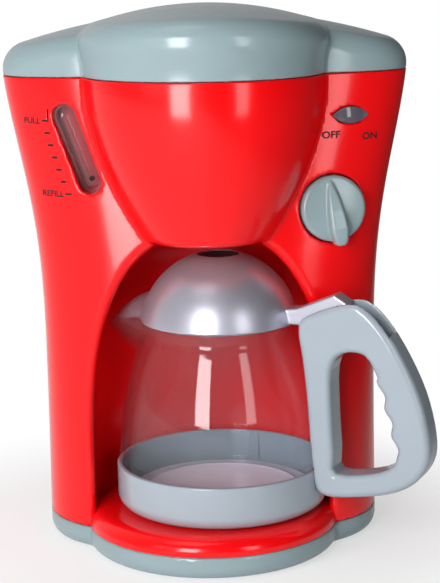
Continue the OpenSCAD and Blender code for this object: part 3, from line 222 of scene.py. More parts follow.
def shell(x, y, z):
    """Both red shells as one solid, hollow above the brew head."""
    wings = outline(x, y, z)
    brew = head(x, y, z)
    outer = join(cut(wings, alcove(x, y, z, wings), ARCH_EDGE), brew, HEAD_FILLET)
    skin = join(wings, brew, 1.0)
    room = np.maximum(skin + SKIN, HOLLOW_Z - z)
    d = np.maximum(outer, -room)
    u, v, w = local(x, y, z, KNOB, KNOB_YAW, TILT)
    rad = np.hypot(u, v)
    boss = np.maximum(np.maximum(rad - KNOB_R - KNOB_RIM, skin), -KNOB_WELL - 2 - w)
    d = np.minimum(d, boss)
    d = cut(d, np.maximum(rad - KNOB_R - KNOB_GAP, -KNOB_WELL - w), 1.1)
    u, v, w = gauge_local(x, y, z)
    collar = np.maximum(np.maximum(slot(u, v, GAUGE_W / 2 + GAUGE_RIM, GAUGE_SPAN), skin), -w)
    d = np.minimum(d, collar)
    d = cut(d, np.maximum(slot(u, v, GAUGE_W / 2, GAUGE_SPAN), -GAUGE_WELL - w), 0.9)
    pocket = np.maximum(slot(u, v, GAUGE_W / 2 + 1.9, GAUGE_SPAN), np.maximum(w, 2 - GAUGE_WELL - w))
    d = np.maximum(d, -pocket)
    u, v, w = local(x, y, z, LENS, LENS_YAW, TILT)
    d = cut(d, np.maximum(almond(u, v, LENS_L, LENS_H), -1 - w), 0.5)
    d = cut(d, np.maximum(np.hypot(x, y - BAY_Y) - RECESS_R, z - HEAD_Z - RECESS_D), 0.8)
    top = meet(d, z - SEAM, 0.25)
    return np.maximum(top, BASE_H + 0.2 - z)


def front_shell(p):
    x, y, z = p.T
    d = np.maximum(shell(x, y, z), y - MID_Y)
    lined = polygon(np.hypot(x, y - BAY_Y), z, ROOM + np.array([WALL, 0]))
    inside = polygon(np.hypot(x, y - BAY_Y), z, ROOM)
    liner = np.maximum(np.maximum(lined, -inside), np.maximum(MID_Y - 0.5 - y, BASE_H + 0.2 - z))
    return np.minimum(d, liner)


def rear_shell(p):
    x, y, z = p.T
    d = np.maximum(shell(x, y, z), MID_Y + 0.05 - y)
    lined = polygon(np.hypot(x, y - BAY_Y), z, ROOM + np.array([WALL + 0.4, 0]))
    d = np.maximum(d, -lined)
    door = np.maximum(np.abs(x) - 29.4, np.maximum(np.abs(z - 44.9) - 20.8, 67.0 - y))
    d = cut(d, door, 0.5)
    for sx, sz in BODY_SCREWS:
        hole = np.maximum(np.hypot(np.abs(x) - sx, z - sz) - SCREW_HOLE_R, 24 - y)
        d = cut(d, hole, 0.5)
    ax = np.abs(x)
    for s in (-1, 1):
        near = np.abs(ax - (KNUCKLE_X + 5 * s)) - KNUCKLE_W
        knuckle = np.hypot(y - HINGE_Y, z - HINGE_Z) - KNUCKLE_R
        arm = np.maximum(np.abs(y - 71.2) - 2.4, np.abs(z - 202.5) - 4.3)
        lug = meet(join(knuckle, arm, 1.0), near, 0.4)
        d = join(d, lug, 0.6)
    return d


def wing_top(x, y):
    return 233.5 - 0.0019 * x * x - 0.004 * (y - MID_Y) ** 2


def lobe_top(x, y):
    return 237 - 0.0033 * x * x - 0.0013 * (y - MID_Y + 10) ** 2


def cover_outer(x, y, z):
    at = np.full(x.shape, SEAM)
    wings = meet(outline(x, y, at), z - wing_top(x, y), 8)
    lobe_y = np.clip(y, HEAD_TOP_Y, MID_Y + REACH_BACK - HEAD_TOP_R)
    bulge = 1.6 * np.exp(-((z - 222) / 7.0) ** 2)
    lobe = meet(np.hypot(x, y - lobe_y) - HEAD_TOP_R - bulge, z - lobe_top(x, y), 6.5)
    return join(wings, lobe, 1.0)


def top_cover(p):
    x, y, z = p.T
    d = cover_outer(x, y, z)
    d = meet(d, COVER_Z - z, 0.25)
    d = np.maximum(d, -(cover_outer(x, y, z) + SKIN))
    knuckle = np.hypot(y - HINGE_Y, z - HINGE_Z) - KNUCKLE_R
    arm = np.maximum(np.abs(y - 71.3) - 2.5, np.abs(z - 209.4) - 2)
    lug = meet(join(knuckle, arm, 1.0), np.abs(np.abs(x) - KNUCKLE_X) - KNUCKLE_W, 0.4)
    return np.minimum(d, lug)


def base(p):
    x, y, z = p.T
    at = np.full(x.shape, BASE_H)
    plan = join(outline(x, y, at), np.hypot(x, y - BAY_Y) - PLATE_R - 0.4, 0.8)
    d = meet(meet(plan, z - BASE_H, 0.8), -z, BASE_ROUND)
    d = np.maximum(d, -np.maximum(plan + BASE_ROUND + WALL, z - BASE_DEPTH))
    for px, py in BASE_SCREWS:
        d = np.maximum(d, -np.maximum(np.hypot(np.abs(x) - px, y - py) - SCREW_HOLE_R, z - 4.5))
    return d


def knob(p):
    u, v, w = local(*p.T, KNOB, KNOB_YAW, TILT)
    rad = np.hypot(u, v)
    dome = w - 3.7 + 0.0045 * rad * rad
    d = meet(meet(rad - KNOB_R, dome, 1.7), -4.2 - w, 0.4)
    a = math.radians(KNOB_TURN)
    q, h = u * math.cos(a) + v * math.sin(a), -u * math.sin(a) + v * math.cos(a)
    # the rib is narrow at its point, widest below the middle, and its tail passes the rim
    t = np.clip((h + 16.4) / 28.6, 0, 1)
    half = np.interp(t, [0, 0.1, 0.25, 0.5, 0.75, 0.93, 1], [1.9, 2.9, 3.7, 3.3, 2.3, 1.1, 0.5])
    crest = np.interp(t, [0, 0.12, 0.3, 0.55, 0.85, 1], [7.6, 8.6, 8.8, 7.6, 5.0, 3.6])
    ends = np.maximum(h - 12.2, -16.0 - h)
    rib = meet(meet(np.abs(q) - half - 0.06 * (8.8 - w), w - crest, 1.4), ends, 1.2)
    rib = np.maximum(rib, np.where(h < -14, 2.6, 1.2) - w)
    return join(d, rib, 0.8)


def in_carafe(p):
    """Coordinates out along the handle, across it, and up."""
    a = math.radians(-HANDLE_DEG)
    x, y = p[:, 0] - CARAFE_X, p[:, 1] - BAY_Y
    return x * math.cos(a) + y * math.sin(a), -x * math.sin(a) + y * math.cos(a), p[:, 2]


def curve(points, steps):
    """Smooth closed curve through the points."""
    p = np.array(points, float)
    a, b, c, d = np.roll(p, 1, 0), p, np.roll(p, -1, 0), np.roll(p, -2, 0)
    t = (np.arange(steps) / steps)[None, :, None]
    a, b, c, d = (q[:, None] for q in (a, b, c, d))
    bend, twist = 2 * a - 5 * b + 4 * c - d, 3 * b - a - 3 * c + d
    out = 0.5 * (2 * b + (c - a) * t + bend * t ** 2 + twist * t ** 3)
    return out.reshape(-1, 2)


HANDLE_BACK = [[REACH - 13, 32.5], [REACH - 3, 41], [REACH, 53], [REACH - 5, 75], [REACH - 17, 98]]
HANDLE_STEM = [[43, 106], [39, 100], [41, 85], [43, 65], [44, 44]]
HANDLE_OUT = curve([[CUP_R + 1.6, HANDLE_FOOT], [68, HANDLE_FOOT + 0.5]] + HANDLE_BACK
                   + [[REACH - 29, HANDLE_TOP - 1], [59, HANDLE_TOP]] + HANDLE_STEM, 5)
FINGERS = [[REACH - GRIP_T - 9 * t ** 1.2 + GROOVE * math.sin(2 * math.pi * GROOVES * t), 48 + 34 * t]
           for t in np.linspace(0, 1, 19)]
WINDOW_FLOOR = HANDLE_FOOT + FOOT_T
HANDLE_IN = curve([[56, WINDOW_FLOOR], [72, WINDOW_FLOOR + 1.5], [REACH - GRIP_T - 2, 43]] + FINGERS
                  + [[69, 90.5], [59, 90.5], [54, 83], [54, 64], [55, 47]], 3)
CHANNEL_FLOOR = LID_HINGE[1] - 4.1
CHANNEL = [[30, CHANNEL_FLOOR], [LID_HINGE[0] + 5, CHANNEL_FLOOR], [58, THUMB_Z + 1], [66, THUMB_Z],
           [74, THUMB_Z - 6], [79, THUMB_Z - 3], [95, 118], [30, 125]]


def jug_side(steps):
    """Jug's outline, first a slow taper and then the shoulder."""
    t = np.linspace(0, 1, steps)
    share = BELLY_TAPER * t + (1 - BELLY_TAPER) * t ** 3
    return [(JUG_R - (JUG_R - NECK_R) * k, BELLY_Z + u * (NECK_Z - BELLY_Z)) for k, u in zip(share, t)]


def handle(p):
    r, q, z = in_carafe(p)
    side = np.abs(q) - HANDLE_T / 2
    d = meet(polygon(r, z, HANDLE_OUT), side, 3.2)
    d = cut(d, polygon(r, z, HANDLE_IN), 2.6)
    d = cut(d, np.maximum(polygon(r, z, CHANNEL), np.abs(q) - CHANNEL_W / 2), 0.7)
    rad = np.hypot(r, q)
    seat = polygon(rad, z, [(PAST, 0), (CUP_R + 0.1, 0), (CUP_R + 0.1, CUP_TOP + 0.9)]
                   + [(r0 + 0.4, z0) for r0, z0 in jug_side(20)] + [(NECK_R + 1.4, 106), (PAST, 106)])
    return np.maximum(d, -seat)


def carafe_cup_profile():
    quarter, inside = math.pi / 2, CUP_R - CUP_WALL
    heel = [(CUP_R - CUP_HEEL + CUP_HEEL * math.sin(a), FOOT_Z + CUP_HEEL - CUP_HEEL * math.cos(a))
            for a in np.linspace(0, quarter, 12)]
    rim = [(CUP_R - CUP_EDGE + CUP_EDGE * math.cos(a), CUP_TOP - CUP_EDGE + CUP_EDGE * math.sin(a))
           for a in np.linspace(0, quarter, 6)]
    return ([(0, FOOT_Z + 1.2), (34, FOOT_Z + 1.2), (35, FOOT_Z)] + heel + rim
            + [(inside + 0.3, CUP_TOP), (inside, CUP_TOP - 0.3), (inside, FOOT_Z + 3.5), (0, FOOT_Z + 3.5)])


JUG_SIDE = jug_side(24)
JUG_OUT = ([(PAST, JUG_FOOT), (SEAT_R - 2, JUG_FOOT), (SEAT_R, JUG_FOOT + 2), (SEAT_R, CUP_TOP),
            (JUG_R, CUP_TOP + 0.6)] + JUG_SIDE + [(NECK_R, JUG_OPEN), (PAST, JUG_OPEN)])
JUG_IN = ([(PAST, 23.3), (SEAT_R - 3, 23.3), (SEAT_R - JUG_WALL, 24.9), (SEAT_R - JUG_WALL, CUP_TOP + 1)]
          + [(r - JUG_WALL, z) for r, z in JUG_SIDE] + [(NECK_R - JUG_WALL, JUG_OPEN), (PAST, JUG_OPEN)])


def spout(r, q, z, grow):
    """Open lip of the jug, pointing away from the handle."""
    out = -r
    t = np.clip((out - 28) / 26.7, 0, 1)
    half = 12.5 - 10.2 * t ** 0.9 + grow
    keel = 80 + 13.5 * t ** 1.15 - grow
    wide = np.abs(q) - half
    d = meet(wide, keel - z, 4.0 - 2.5 * np.mean(t))
    return meet(d, out - 54.6 - grow, 1.2)


def carafe_jug(p):
    r, q, z = in_carafe(p)
    rad = np.hypot(r, q)
    lip_z = RIM_Z - np.maximum(0, -r - NECK_R) * LIP_SLOPE
    outer = join(polygon(rad, z, JUG_OUT), np.maximum(spout(r, q, z, 0), r + 20), 2.0)
    inner = join(polygon(rad, z, JUG_IN), np.maximum(spout(r, q, z, -JUG_WALL), r + 20), 2.0)
    d = meet(outer, z - lip_z, 0.4)
    return cut(d, inner, 0.4)


def dome(rad, z, sunk):
    a, h = LID_R - sunk, LID_H + 4 - sunk
    k = np.hypot(rad / a, (z - (RIM_Z - 3.6)) / h)
    g = np.hypot(rad / a ** 2, (z - (RIM_Z - 3.6)) / h ** 2) / np.maximum(k, 1e-6)
    return (k - 1) / np.maximum(g, 1e-6)


def carafe_lid(p):
    r, q, z = in_carafe(p)
    rad = np.hypot(r, q)
    out = -r
    foot = RIM_Z + 0.5 - LIP_SLOPE * np.maximum(0, out - NECK_R)
    t = np.clip((out - HOOD_R) / (HOOD_TIP_R - HOOD_R), 0, 1)
    half = HOOD_W - (HOOD_W - HOOD_TIP_W) * t ** 1.45
    ridge = HOOD_TOP - (HOOD_TOP - HOOD_TIP) * t ** 2.2
    k = np.hypot(q / half, np.maximum(z - foot, 0) / np.maximum(ridge - foot, 0.5))
    hood = (k - 1) * np.minimum(half, np.maximum(ridge - foot, 0.5)) * 0.8
    hood = meet(np.maximum(hood, foot - z), out - HOOD_TIP_R, 0.8)
    hood = np.maximum(hood, 20 - out)
    d = meet(dome(rad, z, 0), RIM_Z + 0.4 - z, 0.3)
    d = join(d, hood, 2.2)
    d = np.maximum(d, -np.maximum(dome(rad, z, LID_WALL), rad - 29.0))
    skirt = np.maximum(np.abs(rad - 30.1) - 0.7, np.maximum(99.3 - z, z - RIM_Z - 2))
    d = np.minimum(d, skirt)
    rim = RIM_Z + 0.4
    hinge_r, hinge_z = LID_HINGE
    lever = [(44, LEVER_TOP - 4.5), (LEVER_TIP - 6, LEVER_TOP), (LEVER_TIP, LEVER_TOP - 3.5),
             (LEVER_TIP - 1, LEVER_TOP - 5.5), (54, LEVER_TOP - 8)]
    arm = polygon(r, z, [(31.5, rim + 0.6), (31.5, rim + 7), (38, rim + 8)] + lever
                  + [(hinge_r + 3, hinge_z), (hinge_r - 3, hinge_z - 1.3), (38, rim + 0.6)])
    arm = np.minimum(arm, np.hypot(r - hinge_r, z - hinge_z) - 3.3)
    arm = meet(arm, np.abs(q) - 4.6, 0.9)
    d = join(d, arm, 0.8)
    return np.maximum(d, -np.maximum(rad - DRIP_R, 110 - z))


# ------------------------------------------------------------ meshing a field
def slopes(f, p, e=0.12):
    g = np.empty_like(p)
    for i in range(3):
        step = np.zeros(3)
        step[i] = e
        g[:, i] = (f(p + step) - f(p - step)) / (2 * e)
    return g


def sampled(f, lo, hi, h):
    """Field values on a fine grid, worked out only near the surface."""
    k = 4
    n = np.maximum(np.ceil((hi - lo) / (h * k)).astype(int), 1)
    c = [lo[i] + h * k * np.arange(n[i] + 1) for i in range(3)]
    grid = np.stack(np.meshgrid(*c, indexing="ij"), -1)
    coarse = f(grid.reshape(-1, 3)).reshape(grid.shape[:3])
    low = np.full(n, 1e9)
    for i in (0, 1):
        for j in (0, 1):
            for m in (0, 1):
                low = np.minimum(low, np.abs(coarse[i:n[0] + i, j:n[1] + j, m:n[2] + m]))
    near = low < h * k * 2.0
    size = n * k + 1
    mask = np.zeros(size, bool)
    big = near.repeat(k, 0).repeat(k, 1).repeat(k, 2)
    for i in (0, 1):
        for j in (0, 1):
            for m in (0, 1):
                mask[i:size[0] - 1 + i, j:size[1] - 1 + j, m:size[2] - 1 + m] |= big
    idx = [np.minimum((np.arange(size[i]) + k // 2) // k, n[i]) for i in range(3)]
    v = coarse[np.ix_(*idx)].copy()
    at = np.argwhere(mask)
    vals = np.empty(len(at))
    for s in range(0, len(at), 400000):
        part = at[s:s + 400000]
        vals[s:s + 400000] = f(lo + part * h)
    v[mask] = vals
    return v


def mesh_field(name, f, lo, hi, h):
    """Closed quad mesh on the field's zero surface, with the field's own normals."""
    lo, hi = np.array(lo, float), np.array(hi, float)
    v = sampled(f, lo, hi, h)
    s = v < 0
    count = np.zeros(np.array(v.shape) - 1, int)
    corners = [(i, j, k) for i in (0, 1) for j in (0, 1) for k in (0, 1)]
    a, b, c = count.shape
    for i, j, k in corners:
        count += s[i:i + a, j:j + b, k:k + c]
    cells = np.argwhere((count > 0) & (count < 8))
    ids = np.full(count.shape, -1)
    ids[tuple(cells.T)] = np.arange(len(cells))
    total = np.zeros((len(cells), 3))
    hits = np.zeros(len(cells))
    for p in corners:
        for axis in range(3):
            if p[axis]:
                continue
            q = list(p)
            q[axis] = 1
            va = v[tuple((cells + p).T)]
            vb = v[tuple((cells + q).T)]
            on = (va < 0) != (vb < 0)
            t = np.where(on, va / np.where(on, va - vb, 1), 0)
            total += (np.array(p) + t[:, None] * (np.array(q) - p)) * on[:, None]
            hits += on
    pos = lo + (cells + total / hits[:, None]) * h
    quads = []
    for axis in range(3):
        o1, o2 = (axis + 1) % 3, (axis + 2) % 3
        cutter = [slice(1, -1)] * 3
        first, second = list(cutter), list(cutter)
        first[axis], second[axis] = slice(None, -1), slice(1, None)
        s0, s1 = s[tuple(first)], s[tuple(second)]
        at = np.argwhere(s0 != s1)
        flip = s1[tuple(at.T)]
        at[:, o1] += 1
        at[:, o2] += 1
        ring = []
        for d1, d2 in ((-1, -1), (0, -1), (0, 0), (-1, 0)):
            w = at.copy()
            w[:, o1] += d1
            w[:, o2] += d2
            ring.append(ids[tuple(w.T)])
        ring = np.stack(ring, 1)
        ring[flip] = ring[flip][:, ::-1]
        quads.append(ring)
    quads = np.concatenate(quads)
    for _ in range(3):
        g = slopes(f, pos)
        g2 = np.maximum((g * g).sum(1), 0.05)
        step = (f(pos) / g2)[:, None] * g
        far = np.linalg.norm(step, axis=1, keepdims=True)
        pos -= step * np.minimum(1, 0.5 * h / np.maximum(far, 1e-9))
    normals = slopes(f, pos, 0.3)
    normals /= np.maximum(np.linalg.norm(normals, axis=1, keepdims=True), 1e-9)
    return make(name, pos, quads, normals)


def make(name, pos, faces, normals=None):
    me = bpy.data.meshes.new(name)
    faces = np.asarray(faces)
    me.vertices.add(len(pos))
    me.vertices.foreach_set("co", (np.asarray(pos) * MM).astype(np.float32).ravel())
    me.loops.add(faces.size)
    me.loops.foreach_set("vertex_index", faces.astype(np.int32).ravel())
    me.polygons.add(len(faces))
    me.polygons.foreach_set("loop_start", np.arange(0, faces.size, faces.shape[1], dtype=np.int32))
    me.update(calc_edges=True)
    me.validate()
    me.polygons.foreach_set("use_smooth", np.ones(len(me.polygons), bool))
    if normals is not None:
        me.normals_split_custom_set_from_vertices([tuple(n) for n in normals])
    ob = bpy.data.objects.new(name, me)
    bpy.context.scene.collection.objects.link(ob)
    return ob


def lathe(name, profile, x, y, steps=128, sharp=35):
    """Solid of revolution about an upright axis, its profile given from axis to axis."""
    prof = np.array(profile, float)
    ang = np.linspace(0, 2 * math.pi, steps, endpoint=False)
    pos = np.concatenate([np.stack([x + r * np.cos(ang), y + r * np.sin(ang), np.full(steps, z)], 1)
                          for r, z in prof])
    faces = []
    i = np.arange(steps)
    j = (i + 1) % steps
    for k in range(len(prof) - 1):
        low, high = k * steps, (k + 1) * steps
        faces.append(np.stack([low + i, low + j, high + j, high + i], 1))
    ob = make(name, pos, np.concatenate(faces))
    finish_mesh(ob, sharp)
    return ob


def finish_mesh(ob, sharp):
    """Closes the mesh at the axis and keeps edges crisp past the given angle."""
    bm = bmesh.new()
    bm.from_mesh(ob.data)
    bmesh.ops.remove_doubles(bm, verts=bm.verts, dist=1e-6)
    bmesh.ops.dissolve_degenerate(bm, edges=bm.edges, dist=1e-7)
    bmesh.ops.recalc_face_normals(bm, faces=bm.faces)
    for e in bm.edges:
        e.smooth = not (e.is_manifold and e.calc_face_angle(0) > math.radians(sharp))
    bm.to_mesh(ob.data)
    bm.free()


# ------------------------------------------------------------ materials
def material(name, color, rough, bump, bump_scale=300.0, vary=0.03, coat=0.0, metallic=0.0, spec=0.5):
    m = bpy.data.materials.new(name)
    m.use_nodes = True
    nt = m.node_tree
    bsdf = nt.nodes["Principled BSDF"]
    bsdf.inputs["Metallic"].default_value = metallic
    bsdf.inputs["Specular IOR Level"].default_value = spec
    bsdf.inputs["Coat Weight"].default_value = coat
    bsdf.inputs["Coat Roughness"].default_value = 0.04
    tex = nt.nodes.new("ShaderNodeTexCoord")

    def noise(scale, detail=3, roughness=0.5):
        n = nt.nodes.new("ShaderNodeTexNoise")
        n.inputs["Scale"].default_value = scale
        n.inputs["Detail"].default_value = detail
        n.inputs["Roughness"].default_value = roughness
        nt.links.new(tex.outputs["Object"], n.inputs["Vector"])
        return n.outputs["Fac"]

    def ramp(fac, stops):
        r = nt.nodes.new("ShaderNodeValToRGB")
        for element, (position, shade) in zip(r.color_ramp.elements, stops):
            element.position = position
            element.color = (*shade, 1)
        nt.links.new(fac, r.inputs["Fac"])
        return r.outputs["Color"]

    dark = tuple(c * (1 - vary) for c in color)
    light = tuple(min(1, c * (1 + vary)) for c in color)
    nt.links.new(ramp(noise(24, 2), [(0.35, dark), (0.65, light)]), bsdf.inputs["Base Color"])
    lo, hi = rough * 0.96, min(1, rough * 1.05)
    nt.links.new(ramp(noise(90, 4, 0.6), [(0.3, (lo,) * 3), (0.7, (hi,) * 3)]), bsdf.inputs["Roughness"])
    b = nt.nodes.new("ShaderNodeBump")
    b.inputs["Strength"].default_value = bump
    b.inputs["Distance"].default_value = 0.0003
    nt.links.new(noise(bump_scale), b.inputs["Height"])
    nt.links.new(b.outputs["Normal"], bsdf.inputs["Normal"])
    return m


def clear(name, tint, rough, haze, edge=0.55):
    """Thin clear plastic: what lies behind shows through, with reflections that grow towards the edge."""
    m = bpy.data.materials.new(name)
    m.use_nodes = True
    nt = m.node_tree
    new, link = nt.nodes.new, nt.links.new
    body = nt.nodes["Principled BSDF"]
    body.inputs["Base Color"].default_value = (0.62, 0.64, 0.68, 1)
    tex = new("ShaderNodeTexCoord")
    n = new("ShaderNodeTexNoise")
    n.inputs["Scale"].default_value = 30
    link(tex.outputs["Object"], n.inputs["Vector"])
    r = new("ShaderNodeValToRGB")
    r.color_ramp.elements[0].color = (*(c * 0.985 for c in tint), 1)
    r.color_ramp.elements[1].color = (*tint, 1)
    link(n.outputs["Fac"], r.inputs["Fac"])
    through = new("ShaderNodeBsdfTransparent")
    link(r.outputs["Color"], through.inputs["Color"])
    gloss = new("ShaderNodeBsdfAnisotropic")
    gloss.inputs["Roughness"].default_value = rough
    face = new("ShaderNodeLayerWeight")
    face.inputs["Blend"].default_value = 0.5
    rise = new("ShaderNodeValToRGB")
    e = rise.color_ramp.elements
    e[0].position, e[0].color = 0.25, (0.03, 0.03, 0.03, 1)
    e[1].position, e[1].color = 1.0, (edge, edge, edge, 1)
    mid = e.new(0.7)
    mid.color = (0.036, 0.036, 0.036, 1)
    link(face.outputs["Facing"], rise.inputs["Fac"])
    hazy = new("ShaderNodeMixShader")
    hazy.inputs["Fac"].default_value = haze
    link(through.outputs[0], hazy.inputs[1])
    link(body.outputs[0], hazy.inputs[2])
    mix = new("ShaderNodeMixShader")
    link(rise.outputs["Color"], mix.inputs["Fac"])
    link(hazy.outputs[0], mix.inputs[1])
    link(gloss.outputs[0], mix.inputs[2])
    kind = new("ShaderNodeLightPath")
    shade = new("ShaderNodeMixShader")
    link(kind.outputs["Is Shadow Ray"], shade.inputs["Fac"])
    link(mix.outputs[0], shade.inputs[1])
    link(through.outputs[0], shade.inputs[2])
    link(shade.outputs[0], nt.nodes["Material Output"].inputs["Surface"])
    return m


RED = material("red_plastic", (0.80, 0.003, 0.005), 0.17, bump=0.006, bump_scale=60, vary=0.015,
               coat=0.1, spec=0.4)
GREY = material("grey_plastic", (0.235, 0.315, 0.335), 0.19, bump=0.006, bump_scale=70, vary=0.012,
                coat=0.1)
PALE = material("pale_grey_plastic", (0.305, 0.355, 0.4), 0.16, bump=0.006, bump_scale=70, vary=0.01,
                coat=0.3)
SILVER = material("silver_plastic", (0.57, 0.57, 0.66), 0.36, bump=0.01, bump_scale=900, vary=0.02,
                  metallic=0.75)
BLACK = material("black_plastic", (0.02, 0.02, 0.022), 0.4, bump=0.1, bump_scale=400, vary=0.1)
WHITE = material("white_plastic", (0.74, 0.75, 0.75), 0.45, bump=0.1, bump_scale=300, vary=0.02)
STEEL = material("plated_steel", (0.6, 0.6, 0.6), 0.28, bump=0.1, bump_scale=1500, vary=0.06,
                 metallic=1.0)
RUBBER = material("hose_rubber", (0.5, 0.51, 0.52), 0.55, bump=0.15, bump_scale=500, vary=0.04)
BOARD = material("board", (0.03, 0.16, 0.06), 0.5, bump=0.1, bump_scale=400, vary=0.1)
CELL = material("cell_metal", (0.1, 0.11, 0.13), 0.3, bump=0.05, bump_scale=300, vary=0.1, metallic=0.6)
FROST = material("frosted_plastic", (0.62, 0.66, 0.75), 0.3, bump=0.02, bump_scale=200, vary=0.03)
SMOKED = material("smoked_plastic", (0.10, 0.09, 0.11), 0.1, bump=0.02, vary=0.08, coat=0.5)
DARK_RED = material("dark_red_plastic", (0.34, 0.014, 0.024), 0.3, bump=0.05, vary=0.08)
INK = material("label_ink", (0.018, 0.016, 0.018), 0.65, bump=0.02, vary=0.1, spec=0.15)
CLEAR = clear("clear_plastic", (0.97, 0.975, 0.985), 0.03, haze=0.012)


def dress(ob, mat, body, slot_name, *nodes):
    ob.data.materials.clear()
    ob.data.materials.append(mat)
    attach(ob, body)
    if nodes:
        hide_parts(*nodes)
    return ob


# ------------------------------------------------------------ the machine
dress(mesh_field("body_front", front_shell, (-93, -71, 8), (93, 48, 210), 1.3), RED, "machine", "red_plastic",
      "front_shell", "alcove_liner")
dress(mesh_field("body_rear", rear_shell, (-93, 17, 8), (93, 80, 212), 1.4), RED, "machine", "red_plastic",
      "rear_shell")
dress(mesh_field("cover", top_cover, (-93, -58, 200), (93, 80, 240), 1.2), GREY, "cover", "grey_plastic",
      "top_cover")
dress(mesh_field("base_band", base, (-79, -72, -2), (79, 73, 12.5), 1.2), GREY, "machine", "grey_plastic",
      "base")
dress(mesh_field("knob", knob, (34, -36, 126), (74, -6, 172), 0.7), GREY, "knob", "grey_plastic",
      "control_knob")

lip = [(PLATE_FLAT + (PLATE_R - PLATE_FLAT) * math.sin(a), PLATE_FOOT + (PLATE_Z - PLATE_FOOT) * math.cos(a))
       for a in np.linspace(0, math.pi / 2, 20)]
underside = [(PLATE_R, 10.2), (PLATE_R - 2.2, 10.2), (PLATE_R - 2.2, 13.5), (45.5, 15.5), (0, 15.5)]
dress(lathe("plate", [(0, PLATE_Z)] + lip + underside, 0, BAY_Y, 192), RED, "machine", "red_plastic",
      "warming_plate")

# ------------------------------------------------------------ the carafe
dress(lathe("cup", carafe_cup_profile(), CARAFE_X, BAY_Y, 192), PALE, "carafe", "pale_grey_plastic",
      "carafe_cup")
dress(mesh_field("jug", carafe_jug, (-60, -68, 19), (56, 42, 104), 0.9), CLEAR, "carafe", "clear_plastic",
      "carafe_jug")
dress(mesh_field("handle", handle, (34, -68, 23), (106, -20, 116), 0.8), PALE, "carafe", "pale_grey_plastic",
      "carafe_handle")
dress(mesh_field("lid", carafe_lid, (-52, -50, 92), (68, 30, 136), 0.8), SILVER, "lid", "silver_plastic",
      "carafe_lid")

# the jug's frosted floor with its moulded ring
FLOOR_Z, FLOOR_R, RING_R = 23.8, SEAT_R - 3.5, 33.6
floor_top = [(0, FLOOR_Z), (RING_R - 1, FLOOR_Z), (RING_R, FLOOR_Z + 0.6), (RING_R + 1, FLOOR_Z),
             (FLOOR_R, FLOOR_Z)]
dress(lathe("jug_floor", floor_top + [(FLOOR_R, 23.4), (0, 23.4)], CARAFE_X, BAY_Y, 128), FROST, "carafe",
      "clear_plastic")

# the cup's stop rib, seen through the back of the jug
RIB_W, RIB_Z0, RIB_Z1, RIB_DEG = 4.6, 24.5, 36.6, 70.0
a = math.radians(RIB_DEG)
grid = [(q, z) for q in (-RIB_W / 2, -RIB_W / 2 + 0.5, RIB_W / 2 - 0.5, RIB_W / 2) for z in (RIB_Z0, RIB_Z1)]
rib = [(CUP_R - CUP_WALL + 0.1, q, z) for q, z in grid] + [(SEAT_R + 0.05, q, z) for q, z in grid]
rib = [(CARAFE_X + r * math.cos(a) - q * math.sin(a), BAY_Y + r * math.sin(a) + q * math.cos(a), z)
       for r, q, z in rib]
rib_faces = [(8, 9, 11, 10), (10, 11, 13, 12), (12, 13, 15, 14), (0, 1, 9, 8), (6, 14, 15, 7), (0, 8, 14, 6),
             (1, 7, 15, 9)]
dress(make("cup_rib", rib, rib_faces), PALE, "carafe", "pale_grey_plastic")

# ------------------------------------------------------------ the printed marks
IN_FRONT, MARK_LIFT = -75.0, 0.06


def on_front(x, z):
    """Y of the machine's front wall at each x and z, found from in front."""
    pos = np.stack([x, np.full(x.shape, IN_FRONT), z], 1)
    for _ in range(60):
        pos[:, 1] += np.clip(shell(*pos.T), -2, 4) * 0.8
    return pos[:, 1]


def drape(name, x, z, faces):
    """Thin printed mark laid on the front wall."""
    y = on_front(x, z) - MARK_LIFT
    ob = make(name, np.stack([x, y, z], 1), faces)
    return dress(ob, INK, "machine", "black_plastic")


def word(name, text, x, z, size, wide, align, bold):
    data = bpy.data.curves.new(name + "_outline", "FONT")
    data.body, data.size, data.offset, data.align_x = text, size, bold, align
    data.resolution_u = 3
    ob = bpy.data.objects.new(name + "_outline", data)
    bpy.context.scene.collection.objects.link(ob)
    bpy.context.view_layer.update()
    me = bpy.data.meshes.new_from_object(ob.evaluated_get(bpy.context.evaluated_depsgraph_get()))
    bpy.data.objects.remove(ob)
    me.calc_loop_triangles()
    pts = np.array([v.co[:2] for v in me.vertices])
    tris = np.array([t.vertices for t in me.loop_triangles])
    drape(name, x + pts[:, 0] * wide, z + pts[:, 1], tris)


# the ticks follow the slant of the gauge, and the two at the ends are longer
TICKS, TICK_STEP = 7, 5.25
for i in range(TICKS):
    tx, tz = -69.3 + 9.5 * (i / (TICKS - 1)) ** 1.3, 188.6 - TICK_STEP * i
    half, thick = (1.5, 0.42) if i in (0, TICKS - 1) else (1.25, 0.5)
    drape("tick_%d" % i, np.array([tx - half, tx + half, tx + half, tx - half]),
          np.array([tz - thick, tz - thick, tz + thick, tz + thick]), [[0, 1, 2, 3]])
word("mark_full", "FULL", -71.4, 187.3, 3.7, 0.95, "RIGHT", 0.12)
word("mark_refill", "REFILL", -61.9, 155.8, 3.7, 0.95, "RIGHT", 0.12)
word("mark_off", "OFF", 53.9, 179.4, 4.2, 1.1, "CENTER", 0.12)
word("mark_on", "ON", 71.1, 178.1, 4.2, 1.05, "CENTER", 0.12)

